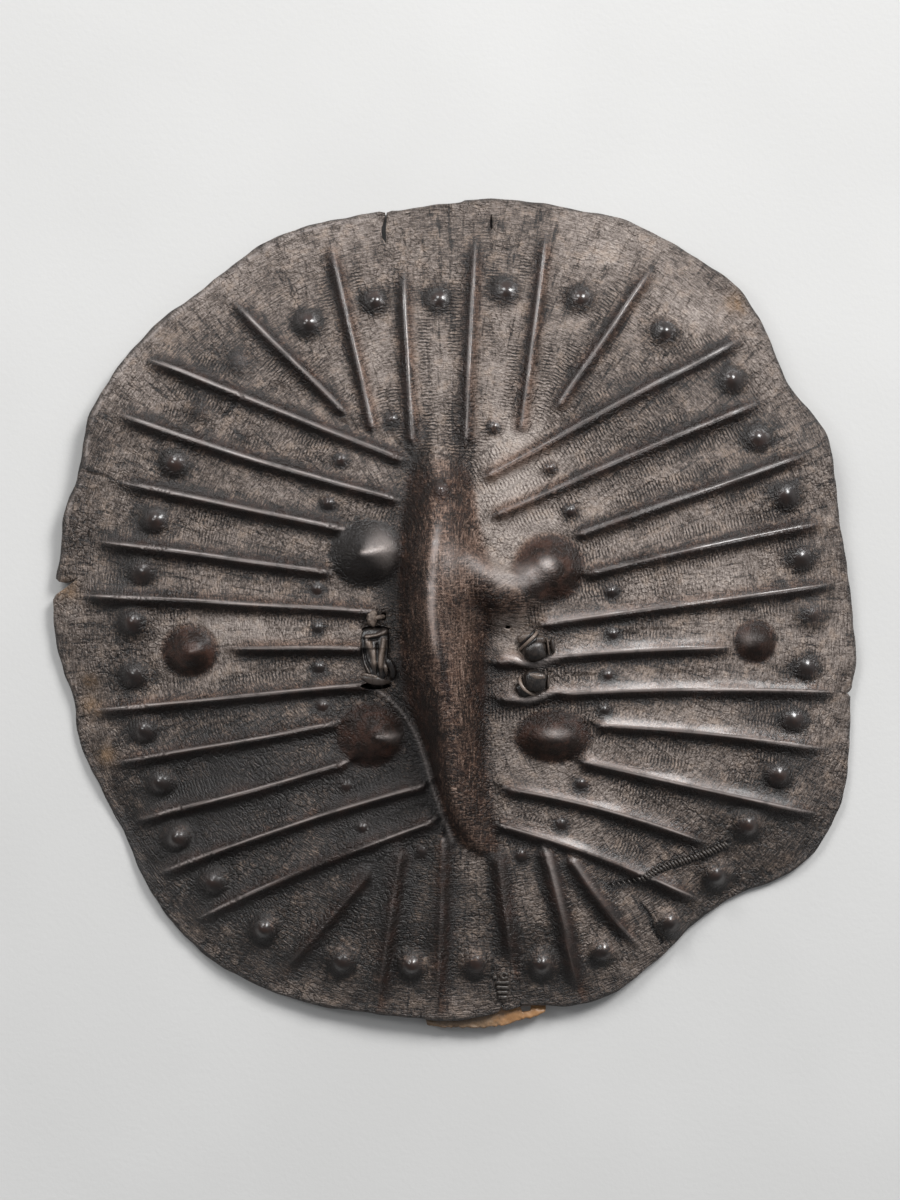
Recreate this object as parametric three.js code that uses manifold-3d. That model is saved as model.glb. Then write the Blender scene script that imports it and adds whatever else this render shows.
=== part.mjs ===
// Embossed hide shield, lying on its rim with its front face up.
// Millimetres. +Z is up out of its front, +Y runs to its top, +X to the right as its front is looked at.
// The origin is on the ground under the middle of the shield.

import * as THREE from 'three';
import { mergeVertices } from 'three/addons/utils/BufferGeometryUtils.js';
import Module from 'manifold-3d';

const wasm = await Module();
wasm.setup();

// ---- Driving dimensions: the dished hide ----
const HIDE_THICKNESS = 5;
const DOME_RISE = 62; // the plain hide's middle above its rim
const RIM_LIFT = 4; // mean height of the rim's underside above the ground
const RIM_WAVE = 7; // the rim dips and lifts this much, three times round
const RIM_WAVES = 3;
const RIM_WAVE_CREST = 270; // bearing of one lifted stretch, degrees
const MAX_SLOPE_FACTOR = 2.6; // most that a steep wall thickens the hide when measured upright
const GROOVE_SHARE = 0.6; // share of the front's small relief that shows as grooves behind

// Distance of the rim from the centre, as [bearing in degrees, reach]. The hide was cut by hand.
const OUTLINE = [
  [0, 346], [10, 343], [18, 348], [25, 357], [30, 355], [34, 351], [39, 358], [45, 369], [49, 375],
  [60, 373], [67, 373], [74, 367], [87, 362], [93, 358], [100, 356], [115, 363], [128, 358], [137, 362],
  [151, 362], [160, 349], [165, 352], [171, 348], [181, 351], [189, 346], [193, 341], [198, 347],
  [208, 346], [214, 348], [223, 362], [234, 370], [244, 367], [259, 356], [271, 354], [280, 348],
  [287, 357], [292, 359], [300, 351], [308, 342], [315, 349], [323, 372], [329, 377], [335, 374],
  [347, 354], [354, 352],
];

// ---- Driving dimensions: ribs and bosses ----
const RIB_HEIGHT = 7;
const RIB_CREST = 3.5; // half width of the sharp crest
const RIB_BASE = 11; // half width of the soft base
const RIB_CREST_SHARE = 0.6;
const RIB_FADE = 24; // a rib dies away over this length towards the rim
const BOSS_RADIUS = 15;
const BOSS_HEIGHT = 9;
const BEAD_RADIUS = 8;
const BEAD_HEIGHT = 4.5;

// The ribs, clockwise from the top, as [outer end x, y, inner end x, y, bow sideways towards the top,
// reach of the boss in the strip after the rib, reach of the small bead in that strip or 0].
const RIBS = [
  [18, 333, 9, 151, 0, 283, 164],
  [80, 340, 56, 161, 0, 294, 0],
  [175, 305, 90, 180, 0, 305, 0],
  [256, 242, 31, 119, 0, 314, 149],
  [272, 187, 38, 85, 0, 303, 132],
  [313, 140, 108, 68, 0, 305, 0],
  [327, 80, 117, 34, 2, 303, 135],
  [337, 27, 80, -9, 0, 310, 136],
  [246, -29, 40, -41, 2, 308, 141],
  [337, -69, 43, -72, 5, 307, 152],
  [327, -119, 127, -96, 3, 313, 0],
  [321, -176, 114, -128, 0, 314, 183],
  [223, -201, 49, -150, 5, 323, 203],
  [217, -252, 41, -181, 5, 330, 0],
  [165, -295, 100, -214, -3, 320, 0],
  [108, -334, 77, -207, 0, 314, 215],
  [50, -313, 37, -213, 0, 305, 0],
  [-16, -341, -10, -200, 0, 307, 207],
  [-68, -340, -48, -210, 0, 320, 0],
  [-154, -316, -78, -227, 0, 322, 0],
  [-231, -269, -24, -179, 4, 315, 201],
  [-264, -230, -32, -148, 5, 312, 176],
  [-285, -183, -98, -129, 0, 296, 0],
  [-303, -131, -106, -95, 0, 288, 140],
  [-323, -85, -78, -61, 0, 284, 127],
  [-204, -30, -85, -30, 0, 279, 119],
  [-332, 16, -75, 2, 0, 272, 120],
  [-316, 63, -113, 35, 0, 271, 0],
  [-299, 115, -102, 72, 0, 275, 144],
  [-299, 174, -55, 97, -3, 281, 164],
  [-276, 224, -51, 132, 0, 287, 0],
  [-199, 276, -98, 175, 0, 283, 0],
  [-111, 329, -71, 160, 0, 279, 175],
  [-45, 305, -37, 149, 0, 272, 0],
];

// The large bosses, as [x, y, radius along x, radius along y, height, sideways lean of the peak].
const LARGE_BOSSES = [
  [-76, 51, 32, 31, 24, 5],
  [79, 38, 31, 30, 22, -5],
  [-73, -104, 30, 28, 18, 10],
  [83, -105, 33, 23, 17, 0],
  [-228, -33, 25, 23, 15, 2],
  [258, -25, 19, 19, 10, 3],
];

// The hollow keel, top to bottom, as [y, left foot x, crest x, right foot x, height].
const KEEL = [
  [160, -28, -16, -3, 0],
  [134, -37, -15, 9, 16],
  [107, -44, -13, 16, 28],
  [79, -48, -14, 21, 38],
  [45, -50, -18, 29, 50],
  [11, -51, -20, 36, 55],
  [-23, -50, -17, 31, 52],
  [-61, -47, -11, 28, 46],
  [-97, -36, -7, 27, 40],
  [-138, -22, -5, 29, 30],
  [-168, -12, 2, 34, 20],
  [-194, -1, 16, 38, 10],
  [-214, 23, 29, 36, 0],
];
const KEEL_BEAD = [-12, 105];
const KEEL_FULLNESS = 0.6; // how much of the keel's right flank stands out like a loaf's side
const KEEL_FULL_FROM = 1.3; // that share of the flank is at full height this much sooner

// The arm that runs from the keel to the upper right boss, as
// [x, y, height, half width above, half width below].
const ARM = [
  [-15, 56, 47, 18, 60],
  [10, 43, 39, 15, 56],
  [34, 30, 30, 12, 44],
  [56, 27, 23, 12, 30],
  [76, 37, 18, 14, 22],
];
const ARM_FOOT = 1.25; // its foot lies this many half widths from its crest
const ARM_FROM = -40; // it rises out of the keel's left flank from this x on
const ARM_RISE = 22; // and has its full height this much further right

// ---- Driving dimensions: the grip strap, its knots and holes ----
const CLEARANCE = 0.5; // gap kept between pieces that touch
const SLIT_X = -68; // the strap's front loop lies over the hide here
const SLIT_YS = [-14, -62]; // the two slits it passes through
const KNOT_XS = [68, 65]; // the two knotted ends, upper and lower
const KNOT_YS = [-28, -60];
const STRAND_Z = 45; // the two strands hang this high above the ground
const STRAND_WIDTH = 15;
const STRAND_THICKNESS = 6;
const LOOP_WIDTH = 23;
const LOOP_THICKNESS = 6;
const KNOT_SIZE = [30, 26, 15];
const KNOT_LEANS = [35, -25]; // degrees
const STRAND_DROP = 7; // a strand starts this far under the hide
const STRAP_DEPTH = 18; // the front loop's ends reach this far down through the slits
const STRAP_STEPS = 15;
const THONG_HOLE = [-61, -3];
const THONG_KNOT = [-71, -5];
const THONG_RADIUS = 2.2;
const THONG_KNOT_RADIUS = 5;

// ---- Driving dimensions: repairs and damage ----
const THREAD_RADIUS = 1.2;
const THREAD_GAP = 1.2; // the thread's underside above the hide
const TEAR = [[133, -235], [159, -229], [181, -219], [211, -210], [235, -200]];
const TEAR_STITCHES = 19;
const TEAR_STITCH_REACH = 3.5;
const SPLIT_X = 40;
const SPLIT_TOP = -320;
const SPLIT_STITCHES = 4;
const SPLIT_STITCH_PITCH = 4.4;
const SPLIT_STITCH_LENGTH = 13;
const PATCH_THICKNESS = 3;
const PATCH_EDGE = [
  [-27, -356], [-22, -361], [20, -364], [57, -359],
  [76, -354], [81, -345], [79, -322], [-25, -322],
];
const PATCH_ROWS = [-332, -342, -351]; // inner rows of points across the patch
const PATCH_ENDS = [-14, 72];
const PATCH_STEP = 12;
const RIM_CRACK = [
  [-63, 362], [-62, 346], [-65, 333], [-64, 326],
  [-60, 320], [-60.5, 332], [-60, 346], [-60, 362],
];
const LEFT_NOTCH = [[-362, 28], [-345, 27], [-337, 26], [-327, 31], [-338, 22], [-347, 16], [-362, 8]];
const RIGHT_NOTCH = [[362, -62], [345, -66], [340, -70], [345, -73], [362, -78]];
const TOP_SLIT = [[30, 332], [32, 332], [32, 347], [30, 347]];

// ---- Fineness of the faceted surface ----
const RIM_STEPS = 132;
const RIM_LAND = 8; // the band just inside the rim
const RIB_STEP = 27;
const KEEL_STEP = 15;
const FRONT_FILL = 25;
const BACK_FILL = 27;
const POINT_GAP = 4.5; // no two points of a surface are nearer than this
const KEEL_ROW = [0.3, 0.6, 1]; // where the keel's points lie, as shares from crest to foot
const TEAR_GAPS = 10;
const NET_REACH = 380;
const DOME_FOOT = 1.15; // a dome's foot lies this many radii from its centre
const SLOPE_STEP = 1.5; // slopes are read over this distance to each side

const DEGREES = Math.PI / 180;
const FULL_TURN = 360;

// ---- Small helpers ----
function smoothstep(t) {
  const u = Math.min(1, Math.max(0, t));
  return u * u * (3 - 2 * u);
}

function bell(distance, halfWidth) {
  return Math.exp(-((distance / halfWidth) ** 2));
}

// Smooth curve through the values a, b, c, d at equal steps, read between b and c.
function catmullRom(a, b, c, d, t) {
  const slopeB = (c - a) / 2;
  const slopeC = (d - b) / 2;
  const t2 = t * t;
  const t3 = t2 * t;
  return (2 * t3 - 3 * t2 + 1) * b + (t3 - 2 * t2 + t) * slopeB + (3 * t2 - 2 * t3) * c + (t3 - t2) * slopeC;
}

// ---- The hide's height, worked out from its sizes ----
function rimReach(bearing) {
  const turned = ((bearing % FULL_TURN) + FULL_TURN) % FULL_TURN;
  const count = OUTLINE.length;
  let i = count - 1;
  while (OUTLINE[i][0] > turned) {
    i -= 1;
  }
  const next = (i + 1) % count;
  const span = (OUTLINE[next][0] - OUTLINE[i][0] + FULL_TURN) % FULL_TURN;
  const t = (turned - OUTLINE[i][0]) / span;
  const before = OUTLINE[(i + count - 1) % count][1];
  const after = OUTLINE[(i + 2) % count][1];
  return catmullRom(before, OUTLINE[i][1], OUTLINE[next][1], after, t);
}

function rimPoint(bearing, inset) {
  const reach = rimReach(bearing) - inset;
  return [reach * Math.cos(bearing * DEGREES), reach * Math.sin(bearing * DEGREES)];
}

// Height of the underside of the dished hide before it was embossed. It rests on the ground where it dips.
function dishHeight(x, y) {
  const bearing = Math.atan2(y, x) / DEGREES;
  const share = Math.min(1, Math.hypot(x, y) / rimReach(bearing));
  const wave = RIM_WAVE * Math.cos(RIM_WAVES * (bearing - RIM_WAVE_CREST) * DEGREES) * share ** 3;
  return Math.max(0, RIM_LIFT + wave + DOME_RISE * (1 - share ** 2));
}

function keelSection(y) {
  const last = KEEL.length - 1;
  if (y >= KEEL[0][0] || y <= KEEL[last][0]) {
    return null;
  }
  let i = 0;
  while (KEEL[i + 1][0] > y) {
    i += 1;
  }
  const t = (KEEL[i][0] - y) / (KEEL[i][0] - KEEL[i + 1][0]);
  const before = KEEL[Math.max(0, i - 1)];
  const after = KEEL[Math.min(last, i + 2)];
  const read = (column) => catmullRom(before[column], KEEL[i][column], KEEL[i + 1][column], after[column], t);
  return { left: read(1), crest: read(2), right: read(3), height: Math.max(0, read(4)) };
}

function keelHeight(x, y) {
  const section = keelSection(y);
  if (!section) {
    return 0;
  }
  const foot = x < section.crest ? section.left : section.right;
  const near = (x - foot) / (section.crest - foot);
  const plain = smoothstep(near);
  const full = (1 - KEEL_FULLNESS) * plain + KEEL_FULLNESS * smoothstep(KEEL_FULL_FROM * near);
  return section.height * (x < section.crest ? plain : full);
}

function armHeight(x, y) {
  let height = 0;
  for (let i = 0; i < ARM.length - 1; i += 1) {
    const [startX, startY, startHeight, startAbove, startBelow] = ARM[i];
    const [endX, endY, endHeight, endAbove, endBelow] = ARM[i + 1];
    const alongX = endX - startX;
    const alongY = endY - startY;
    const dot = (x - startX) * alongX + (y - startY) * alongY;
    const share = THREE.MathUtils.clamp(dot / (alongX ** 2 + alongY ** 2), 0, 1);
    const distance = Math.hypot(x - startX - share * alongX, y - startY - share * alongY);
    const below = (x - startX) * alongY - (y - startY) * alongX > 0;
    const half = below
      ? THREE.MathUtils.lerp(startBelow, endBelow, share)
      : THREE.MathUtils.lerp(startAbove, endAbove, share);
    const crest = THREE.MathUtils.lerp(startHeight, endHeight, share);
    height = Math.max(height, crest * smoothstep(ARM_FOOT - distance / half));
  }
  return height * smoothstep((x - ARM_FROM) / ARM_RISE);
}

function largeBossHeight(x, y, boss) {
  const [centreX, centreY, radiusX, radiusY, height, lean] = boss;
  const near = 1 - Math.hypot((x - centreX) / radiusX, (y - centreY) / radiusY);
  const shift = lean * smoothstep(near);
  return height * smoothstep(1 - Math.hypot((x - centreX - shift) / radiusX, (y - centreY) / radiusY));
}

// Height of the front face with only its large forms: dish, keel, arm and large bosses.
function bodyHeight(x, y) {
  let raised = Math.max(keelHeight(x, y), armHeight(x, y));
  for (const boss of LARGE_BOSSES) {
    raised = Math.max(raised, largeBossHeight(x, y, boss));
  }
  return dishHeight(x, y) + HIDE_THICKNESS + raised;
}

function ribLine(rib) {
  const [outerX, outerY, innerX, innerY, bow] = rib;
  const length = Math.hypot(innerX - outerX, innerY - outerY);
  const along = [(innerX - outerX) / length, (innerY - outerY) / length];
  const side = along[0] > 0 ? [-along[1], along[0]] : [along[1], -along[0]];
  return { start: [outerX, outerY], length, along, side, bow };
}

// A point of a rib's crest, share 0 at its outer end and 1 at its inner end, offset sideways.
function ribPoint(rib, share, offset) {
  const line = ribLine(rib);
  const sideways = offset + line.bow * 4 * share * (1 - share);
  const reach = share * line.length;
  return line.start.map((value, axis) => value + line.along[axis] * reach + line.side[axis] * sideways);
}

function ribHeight(x, y, rib) {
  const line = ribLine(rib);
  const fromStart = [x - line.start[0], y - line.start[1]];
  const reach = fromStart[0] * line.along[0] + fromStart[1] * line.along[1];
  const share = Math.min(1, Math.max(0, reach / line.length));
  const bowed = line.bow * 4 * share * (1 - share);
  const sideways = fromStart[0] * line.side[0] + fromStart[1] * line.side[1] - bowed;
  const distance = Math.hypot(sideways, reach - share * line.length);
  const crest = RIB_CREST_SHARE * bell(distance, RIB_CREST);
  const base = (1 - RIB_CREST_SHARE) * bell(distance, RIB_BASE);
  return RIB_HEIGHT * smoothstep(reach / RIB_FADE) * (crest + base);
}

// Where the line of a rib crosses a circle of that reach about the centre, on the rib's outer side.
function ribAtReach(rib, reach) {
  const line = ribLine(rib);
  const towards = line.start[0] * line.along[0] + line.start[1] * line.along[1];
  const excess = line.start[0] ** 2 + line.start[1] ** 2 - reach ** 2;
  const step = -towards - Math.sqrt(Math.max(0, towards ** 2 - excess));
  return line.start.map((value, axis) => value + line.along[axis] * step);
}

// The bosses sit midway between neighbouring ribs.
function stripPoint(index, reach) {
  const one = ribAtReach(RIBS[index], reach);
  const other = ribAtReach(RIBS[(index + 1) % RIBS.length], reach);
  return [(one[0] + other[0]) / 2, (one[1] + other[1]) / 2];
}

function bossCentres() {
  return RIBS.map((rib, index) => stripPoint(index, rib[5]));
}

function beadCentres() {
  const centres = [KEEL_BEAD];
  RIBS.forEach((rib, index) => {
    if (rib[6] > 0) {
      centres.push(stripPoint(index, rib[6]));
    }
  });
  return centres;
}

const BOSSES = bossCentres();
const BEADS = beadCentres();

function domes(x, y, centres, radius, height) {
  let tallest = 0;
  for (const centre of centres) {
    const distance = Math.hypot(x - centre[0], y - centre[1]);
    tallest = Math.max(tallest, height * smoothstep(DOME_FOOT - distance / radius));
  }
  return tallest;
}

function smallRelief(x, y) {
  let raised = domes(x, y, BOSSES, BOSS_RADIUS, BOSS_HEIGHT);
  raised = Math.max(raised, domes(x, y, BEADS, BEAD_RADIUS, BEAD_HEIGHT));
  for (const rib of RIBS) {
    raised = Math.max(raised, ribHeight(x, y, rib));
  }
  return raised;
}

function frontHeight(x, y) {
  return bodyHeight(x, y) + smallRelief(x, y);
}

function backHeight(x, y) {
  const slopeX = (bodyHeight(x + SLOPE_STEP, y) - bodyHeight(x - SLOPE_STEP, y)) / (2 * SLOPE_STEP);
  const slopeY = (bodyHeight(x, y + SLOPE_STEP) - bodyHeight(x, y - SLOPE_STEP)) / (2 * SLOPE_STEP);
  const factor = Math.min(MAX_SLOPE_FACTOR, Math.hypot(1, slopeX, slopeY));
  return Math.max(0, bodyHeight(x, y) - HIDE_THICKNESS * factor + GROOVE_SHARE * smallRelief(x, y));
}

function vectors(points) {
  return points.map(([x, y, z = 0]) => new THREE.Vector3(x, y, z));
}

function tearLine() {
  return new THREE.CatmullRomCurve3(vectors(TEAR), false, 'centripetal');
}

// ---- Faceted surfaces: scattered points joined into triangles ----
function addPoint(points, point, gap) {
  const clear = points.every((other) => Math.hypot(other[0] - point[0], other[1] - point[1]) >= gap);
  if (clear) {
    points.push(point);
  }
}

function addRing(points, centre, radiusX, radiusY, count) {
  for (let i = 0; i < count; i += 1) {
    const angle = (i * 2 * Math.PI) / count;
    const x = centre[0] + radiusX * Math.cos(angle);
    const y = centre[1] + radiusY * Math.sin(angle);
    addPoint(points, [x, y], POINT_GAP);
  }
}

function addBandPoints(points) {
  for (let i = 0; i < RIM_STEPS; i += 1) {
    points.push(rimPoint((i * FULL_TURN) / RIM_STEPS, RIM_LAND));
  }
}

function addKeelPoints(points) {
  const top = KEEL[0][0];
  const bottom = KEEL[KEEL.length - 1][0];
  const rows = Math.round((top - bottom) / KEEL_STEP);
  for (let i = 1; i < rows; i += 1) {
    const y = THREE.MathUtils.lerp(top, bottom, i / rows);
    const section = keelSection(y);
    addPoint(points, [section.crest, y], POINT_GAP);
    for (const foot of [section.left, section.right]) {
      for (const share of KEEL_ROW) {
        addPoint(points, [THREE.MathUtils.lerp(section.crest, foot, share), y], POINT_GAP);
      }
    }
  }
}

function addArmPoints(points) {
  for (const [x, y, , halfWidth] of ARM) {
    addPoint(points, [x, y], POINT_GAP);
    addRing(points, [x, y], halfWidth, halfWidth, 6);
  }
}

function addLargeBossPoints(points) {
  for (const [x, y, radiusX, radiusY, , lean] of LARGE_BOSSES) {
    addPoint(points, [x + lean, y], POINT_GAP);
    addRing(points, [x + lean / 2, y], radiusX / 2, radiusY / 2, 7);
    addRing(points, [x, y], radiusX, radiusY, 10);
  }
}

function addRibPoints(points, offsets) {
  for (const rib of RIBS) {
    const steps = Math.round(ribLine(rib).length / RIB_STEP);
    for (const offset of offsets) {
      for (let i = 0; i <= steps; i += 1) {
        addPoint(points, ribPoint(rib, i / steps, offset), POINT_GAP);
      }
    }
    addPoint(points, ribPoint(rib, 1 + RIB_BASE / ribLine(rib).length, 0), POINT_GAP);
  }
}

function addDomePoints(points, centres, radius, sides) {
  for (const centre of centres) {
    addPoint(points, centre, POINT_GAP);
    addRing(points, centre, radius, radius, sides);
  }
}

// Points along the tear, so that the faces there lie close under its stitches.
function addTearPoints(points) {
  for (let i = 0; i <= TEAR_GAPS; i += 1) {
    const at = tearLine().getPointAt(i / TEAR_GAPS);
    addPoint(points, [at.x, at.y], POINT_GAP);
  }
}

// A loose net of points between the others, each row shifted by half a step.
function addFillPoints(points, spacing) {
  const rowStep = spacing * Math.sin(60 * DEGREES);
  const rows = Math.ceil(NET_REACH / rowStep);
  for (let row = -rows; row <= rows; row += 1) {
    for (let column = -rows; column <= rows; column += 1) {
      const x = spacing * (column + (row % 2 === 0 ? 0 : 0.5)) + Math.sin(7 * row);
      const y = rowStep * row + Math.cos(5 * column);
      const inside = Math.hypot(x, y) < rimReach(Math.atan2(y, x) / DEGREES) - RIM_LAND - spacing / 3;
      if (inside) {
        addPoint(points, [x, y], spacing * 0.6);
      }
    }
  }
}

// Leaves out any point that crowds the rim.
function clearOfRim(points) {
  return points.filter(([x, y]) => Math.hypot(x, y) < rimReach(Math.atan2(y, x) / DEGREES) - RIM_LAND * 0.8);
}

function frontPoints() {
  const points = [];
  addBandPoints(points);
  addKeelPoints(points);
  addArmPoints(points);
  addLargeBossPoints(points);
  addRibPoints(points, [0]);
  addTearPoints(points);
  addDomePoints(points, BOSSES, BOSS_RADIUS, 6);
  addDomePoints(points, BEADS, BEAD_RADIUS, 5);
  addRibPoints(points, [-RIB_CREST * 1.8, RIB_CREST * 1.8]);
  addFillPoints(points, FRONT_FILL);
  return clearOfRim(points);
}

function backPoints() {
  const points = [];
  addBandPoints(points);
  addKeelPoints(points);
  addArmPoints(points);
  addLargeBossPoints(points);
  addRibPoints(points, [0]);
  addFillPoints(points, BACK_FILL);
  return clearOfRim(points);
}

function circumcircle(a, b, c) {
  const abX = b[0] - a[0];
  const abY = b[1] - a[1];
  const acX = c[0] - a[0];
  const acY = c[1] - a[1];
  const twiceArea = 2 * (abX * acY - abY * acX);
  const ab2 = abX * abX + abY * abY;
  const ac2 = acX * acX + acY * acY;
  const x = (acY * ab2 - abY * ac2) / twiceArea;
  const y = (abX * ac2 - acX * ab2) / twiceArea;
  return { x: a[0] + x, y: a[1] + y, radius2: x * x + y * y, clockwise: twiceArea < 0 };
}

// Delaunay triangles of scattered points, adding one point at a time.
function triangulate(points) {
  const far = 1e5;
  const all = [...points, [-far, -far], [far, -far], [0, far]];
  const count = points.length;
  const triangle = (a, b, c) => {
    const circle = circumcircle(all[a], all[b], all[c]);
    return { corners: circle.clockwise ? [a, c, b] : [a, b, c], circle };
  };
  let triangles = [triangle(count, count + 1, count + 2)];
  for (let i = 0; i < count; i += 1) {
    const kept = [];
    const openEdges = new Map();
    for (const old of triangles) {
      const dx = points[i][0] - old.circle.x;
      const dy = points[i][1] - old.circle.y;
      if (dx * dx + dy * dy >= old.circle.radius2) {
        kept.push(old);
        continue;
      }
      for (let side = 0; side < 3; side += 1) {
        const from = old.corners[side];
        const to = old.corners[(side + 1) % 3];
        const twin = `${to} ${from}`;
        if (openEdges.has(twin)) {
          openEdges.delete(twin);
        } else {
          openEdges.set(`${from} ${to}`, [from, to]);
        }
      }
    }
    for (const [from, to] of openEdges.values()) {
      kept.push(triangle(from, to, i));
    }
    triangles = kept;
  }
  const joinedUp = triangles.map((entry) => entry.corners);
  return joinedUp.filter((corners) => corners.every((corner) => corner < count));
}

function insideLoop(loop, x, y) {
  let inside = false;
  loop.forEach((point, i) => {
    const next = loop[(i + 1) % loop.length];
    const crosses = point[1] > y !== next[1] > y;
    if (crosses && x < point[0] + ((y - point[1]) * (next[0] - point[0])) / (next[1] - point[1])) {
      inside = !inside;
    }
  });
  return inside;
}

function trianglesInside(loop, inner) {
  const points = [...loop, ...inner];
  return triangulate(points).filter((corners) => {
    const x = (points[corners[0]][0] + points[corners[1]][0] + points[corners[2]][0]) / 3;
    const y = (points[corners[0]][1] + points[corners[1]][1] + points[corners[2]][1]) / 3;
    return insideLoop(loop, x, y);
  });
}

// A closed body between two heights over the same anticlockwise outline.
function slabGeometry(loop, topInner, bottomInner, topHeight, bottomHeight) {
  const positions = [];
  const index = [];
  const addSurface = (inner, height, upward) => {
    const base = positions.length / 3;
    for (const [x, y] of [...loop, ...inner]) {
      positions.push(x, y, height(x, y));
    }
    for (const [a, b, c] of trianglesInside(loop, inner)) {
      index.push(base + a, base + (upward ? b : c), base + (upward ? c : b));
    }
    return base;
  };
  const top = addSurface(topInner, topHeight, true);
  const bottom = addSurface(bottomInner, bottomHeight, false);
  loop.forEach((_, i) => {
    const next = (i + 1) % loop.length;
    index.push(bottom + i, bottom + next, top + next);
    index.push(bottom + i, top + next, top + i);
  });
  const geometry = new THREE.BufferGeometry();
  geometry.setAttribute('position', new THREE.Float32BufferAttribute(positions, 3));
  geometry.setIndex(index);
  return geometry;
}

// ---- Joining and cutting solids ----
function toManifold(geometry) {
  const bare = geometry.clone();
  bare.deleteAttribute('normal');
  bare.deleteAttribute('uv');
  const merged = mergeVertices(bare, 1e-3);
  const vertProperties = new Float32Array(merged.attributes.position.array);
  const triVerts = new Uint32Array(merged.index.array);
  return new wasm.Manifold(new wasm.Mesh({ numProp: 3, vertProperties, triVerts }));
}

function toGeometry(solid) {
  const mesh = solid.getMesh();
  const geometry = new THREE.BufferGeometry();
  geometry.setAttribute('position', new THREE.Float32BufferAttribute(mesh.vertProperties, 3));
  geometry.setIndex(new THREE.Uint32BufferAttribute(mesh.triVerts, 1));
  geometry.computeVertexNormals();
  return geometry;
}

function joined(geometries) {
  return geometries.map(toManifold).reduce((whole, piece) => whole.add(piece));
}

function sweep(section, points, steps) {
  const path = new THREE.CatmullRomCurve3(vectors(points), false, 'centripetal');
  return new THREE.ExtrudeGeometry(section, { steps, extrudePath: path, curveSegments: 2 });
}

function roundSection(radius, sides) {
  const corners = [];
  for (let i = 0; i < sides; i += 1) {
    const angle = (i * 2 * Math.PI) / sides;
    corners.push(new THREE.Vector2(radius * Math.cos(angle), radius * Math.sin(angle)));
  }
  return new THREE.Shape(corners);
}

function ovalSection(width, thickness, sides) {
  const corners = [];
  for (let i = 0; i < sides; i += 1) {
    const angle = ((i + 0.5) * 2 * Math.PI) / sides;
    corners.push(new THREE.Vector2((width / 2) * Math.cos(angle), (thickness / 2) * Math.sin(angle)));
  }
  return new THREE.Shape(corners);
}

// A straight cut right through the hide, along Z, from a drawn outline.
function throughCut(outline) {
  const corners = outline.map(([x, y]) => new THREE.Vector2(x, y));
  const cut = new THREE.ExtrudeGeometry(new THREE.Shape(corners), { depth: 200, bevelEnabled: false });
  return toManifold(cut.translate(0, 0, -20));
}

// ---- The grip strap ----
function strand(index, spare) {
  const left = SLIT_X;
  const right = KNOT_XS[index];
  const y = SLIT_YS[index];
  const endY = KNOT_YS[index];
  const leftZ = backHeight(left, y) - STRAND_DROP;
  const rightZ = frontHeight(right, endY);
  // From just under the left slit, slack across the hollow, then up through the hide to the knot.
  const route = [
    [left - 2, y, leftZ],
    [left + 14, y, STRAND_Z + 4],
    [left + 40, THREE.MathUtils.lerp(y, endY, 0.3), STRAND_Z],
    [right - 34, THREE.MathUtils.lerp(y, endY, 0.7), STRAND_Z],
    [right - 10, endY, STRAND_Z + 5],
    [right, endY, rightZ - 14],
    [right, endY, rightZ + 4],
  ];
  const section = ovalSection(STRAND_WIDTH + 2 * spare, STRAND_THICKNESS + 2 * spare, 8);
  return sweep(section, route, STRAP_STEPS);
}

function frontLoop(spare) {
  const [startY, endY] = SLIT_YS;
  const middle = (startY + endY) / 2;
  const startZ = frontHeight(SLIT_X, startY);
  const endZ = frontHeight(SLIT_X, endY);
  const middleZ = frontHeight(SLIT_X, middle);
  // Up through the upper slit, flat over the hide's front, and down through the lower one.
  const route = [
    [SLIT_X, startY, startZ - STRAP_DEPTH],
    [SLIT_X, startY, startZ - 5],
    [SLIT_X, startY - 6, startZ + 4],
    [SLIT_X, middle, middleZ + 6],
    [SLIT_X, endY + 6, endZ + 4],
    [SLIT_X, endY, endZ - 5],
    [SLIT_X, endY, endZ - STRAP_DEPTH],
  ];
  const section = ovalSection(LOOP_WIDTH + 2 * spare, LOOP_THICKNESS + 2 * spare, 8);
  return sweep(section, route, STRAP_STEPS);
}

function knot(index, spare) {
  const x = KNOT_XS[index];
  const y = KNOT_YS[index];
  const body = new THREE.SphereGeometry(1, 10, 7);
  body.scale(...KNOT_SIZE.map((size) => size / 2 + spare));
  body.rotateZ(KNOT_LEANS[index] * DEGREES);
  body.translate(x, y, frontHeight(x, y) + KNOT_SIZE[2] / 2 - 1);
  return body;
}

function strapSolid(spare) {
  const pieces = [strand(0, spare), strand(1, spare), frontLoop(spare), knot(0, spare), knot(1, spare)];
  return joined(pieces);
}

// ---- The small thong beside the strap ----
function thongSolid(spare) {
  const [holeX, holeY] = THONG_HOLE;
  const [knotX, knotY] = THONG_KNOT;
  const top = frontHeight(holeX, holeY);
  const knotZ = frontHeight(knotX, knotY) + THONG_KNOT_RADIUS * 0.8;
  const route = [
    [holeX, holeY, top - 16],
    [holeX, holeY, top],
    [(holeX + knotX) / 2, (holeY + knotY) / 2, knotZ + 2],
    [knotX, knotY, knotZ],
  ];
  const tail = sweep(roundSection(THONG_RADIUS + spare, 6), route, 10);
  const end = new THREE.SphereGeometry(THONG_KNOT_RADIUS + spare, 8, 6);
  end.translate(knotX, knotY, knotZ);
  return joined([tail, end]);
}

// ---- Stitching ----
function threadHeight(x, y) {
  const near = [[0, 0], [3, 0], [-3, 0], [0, 3], [0, -3]]; // the hide is felt at these offsets
  const highest = Math.max(...near.map(([dx, dy]) => frontHeight(x + dx, y + dy)));
  return highest + THREAD_RADIUS + THREAD_GAP;
}

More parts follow.
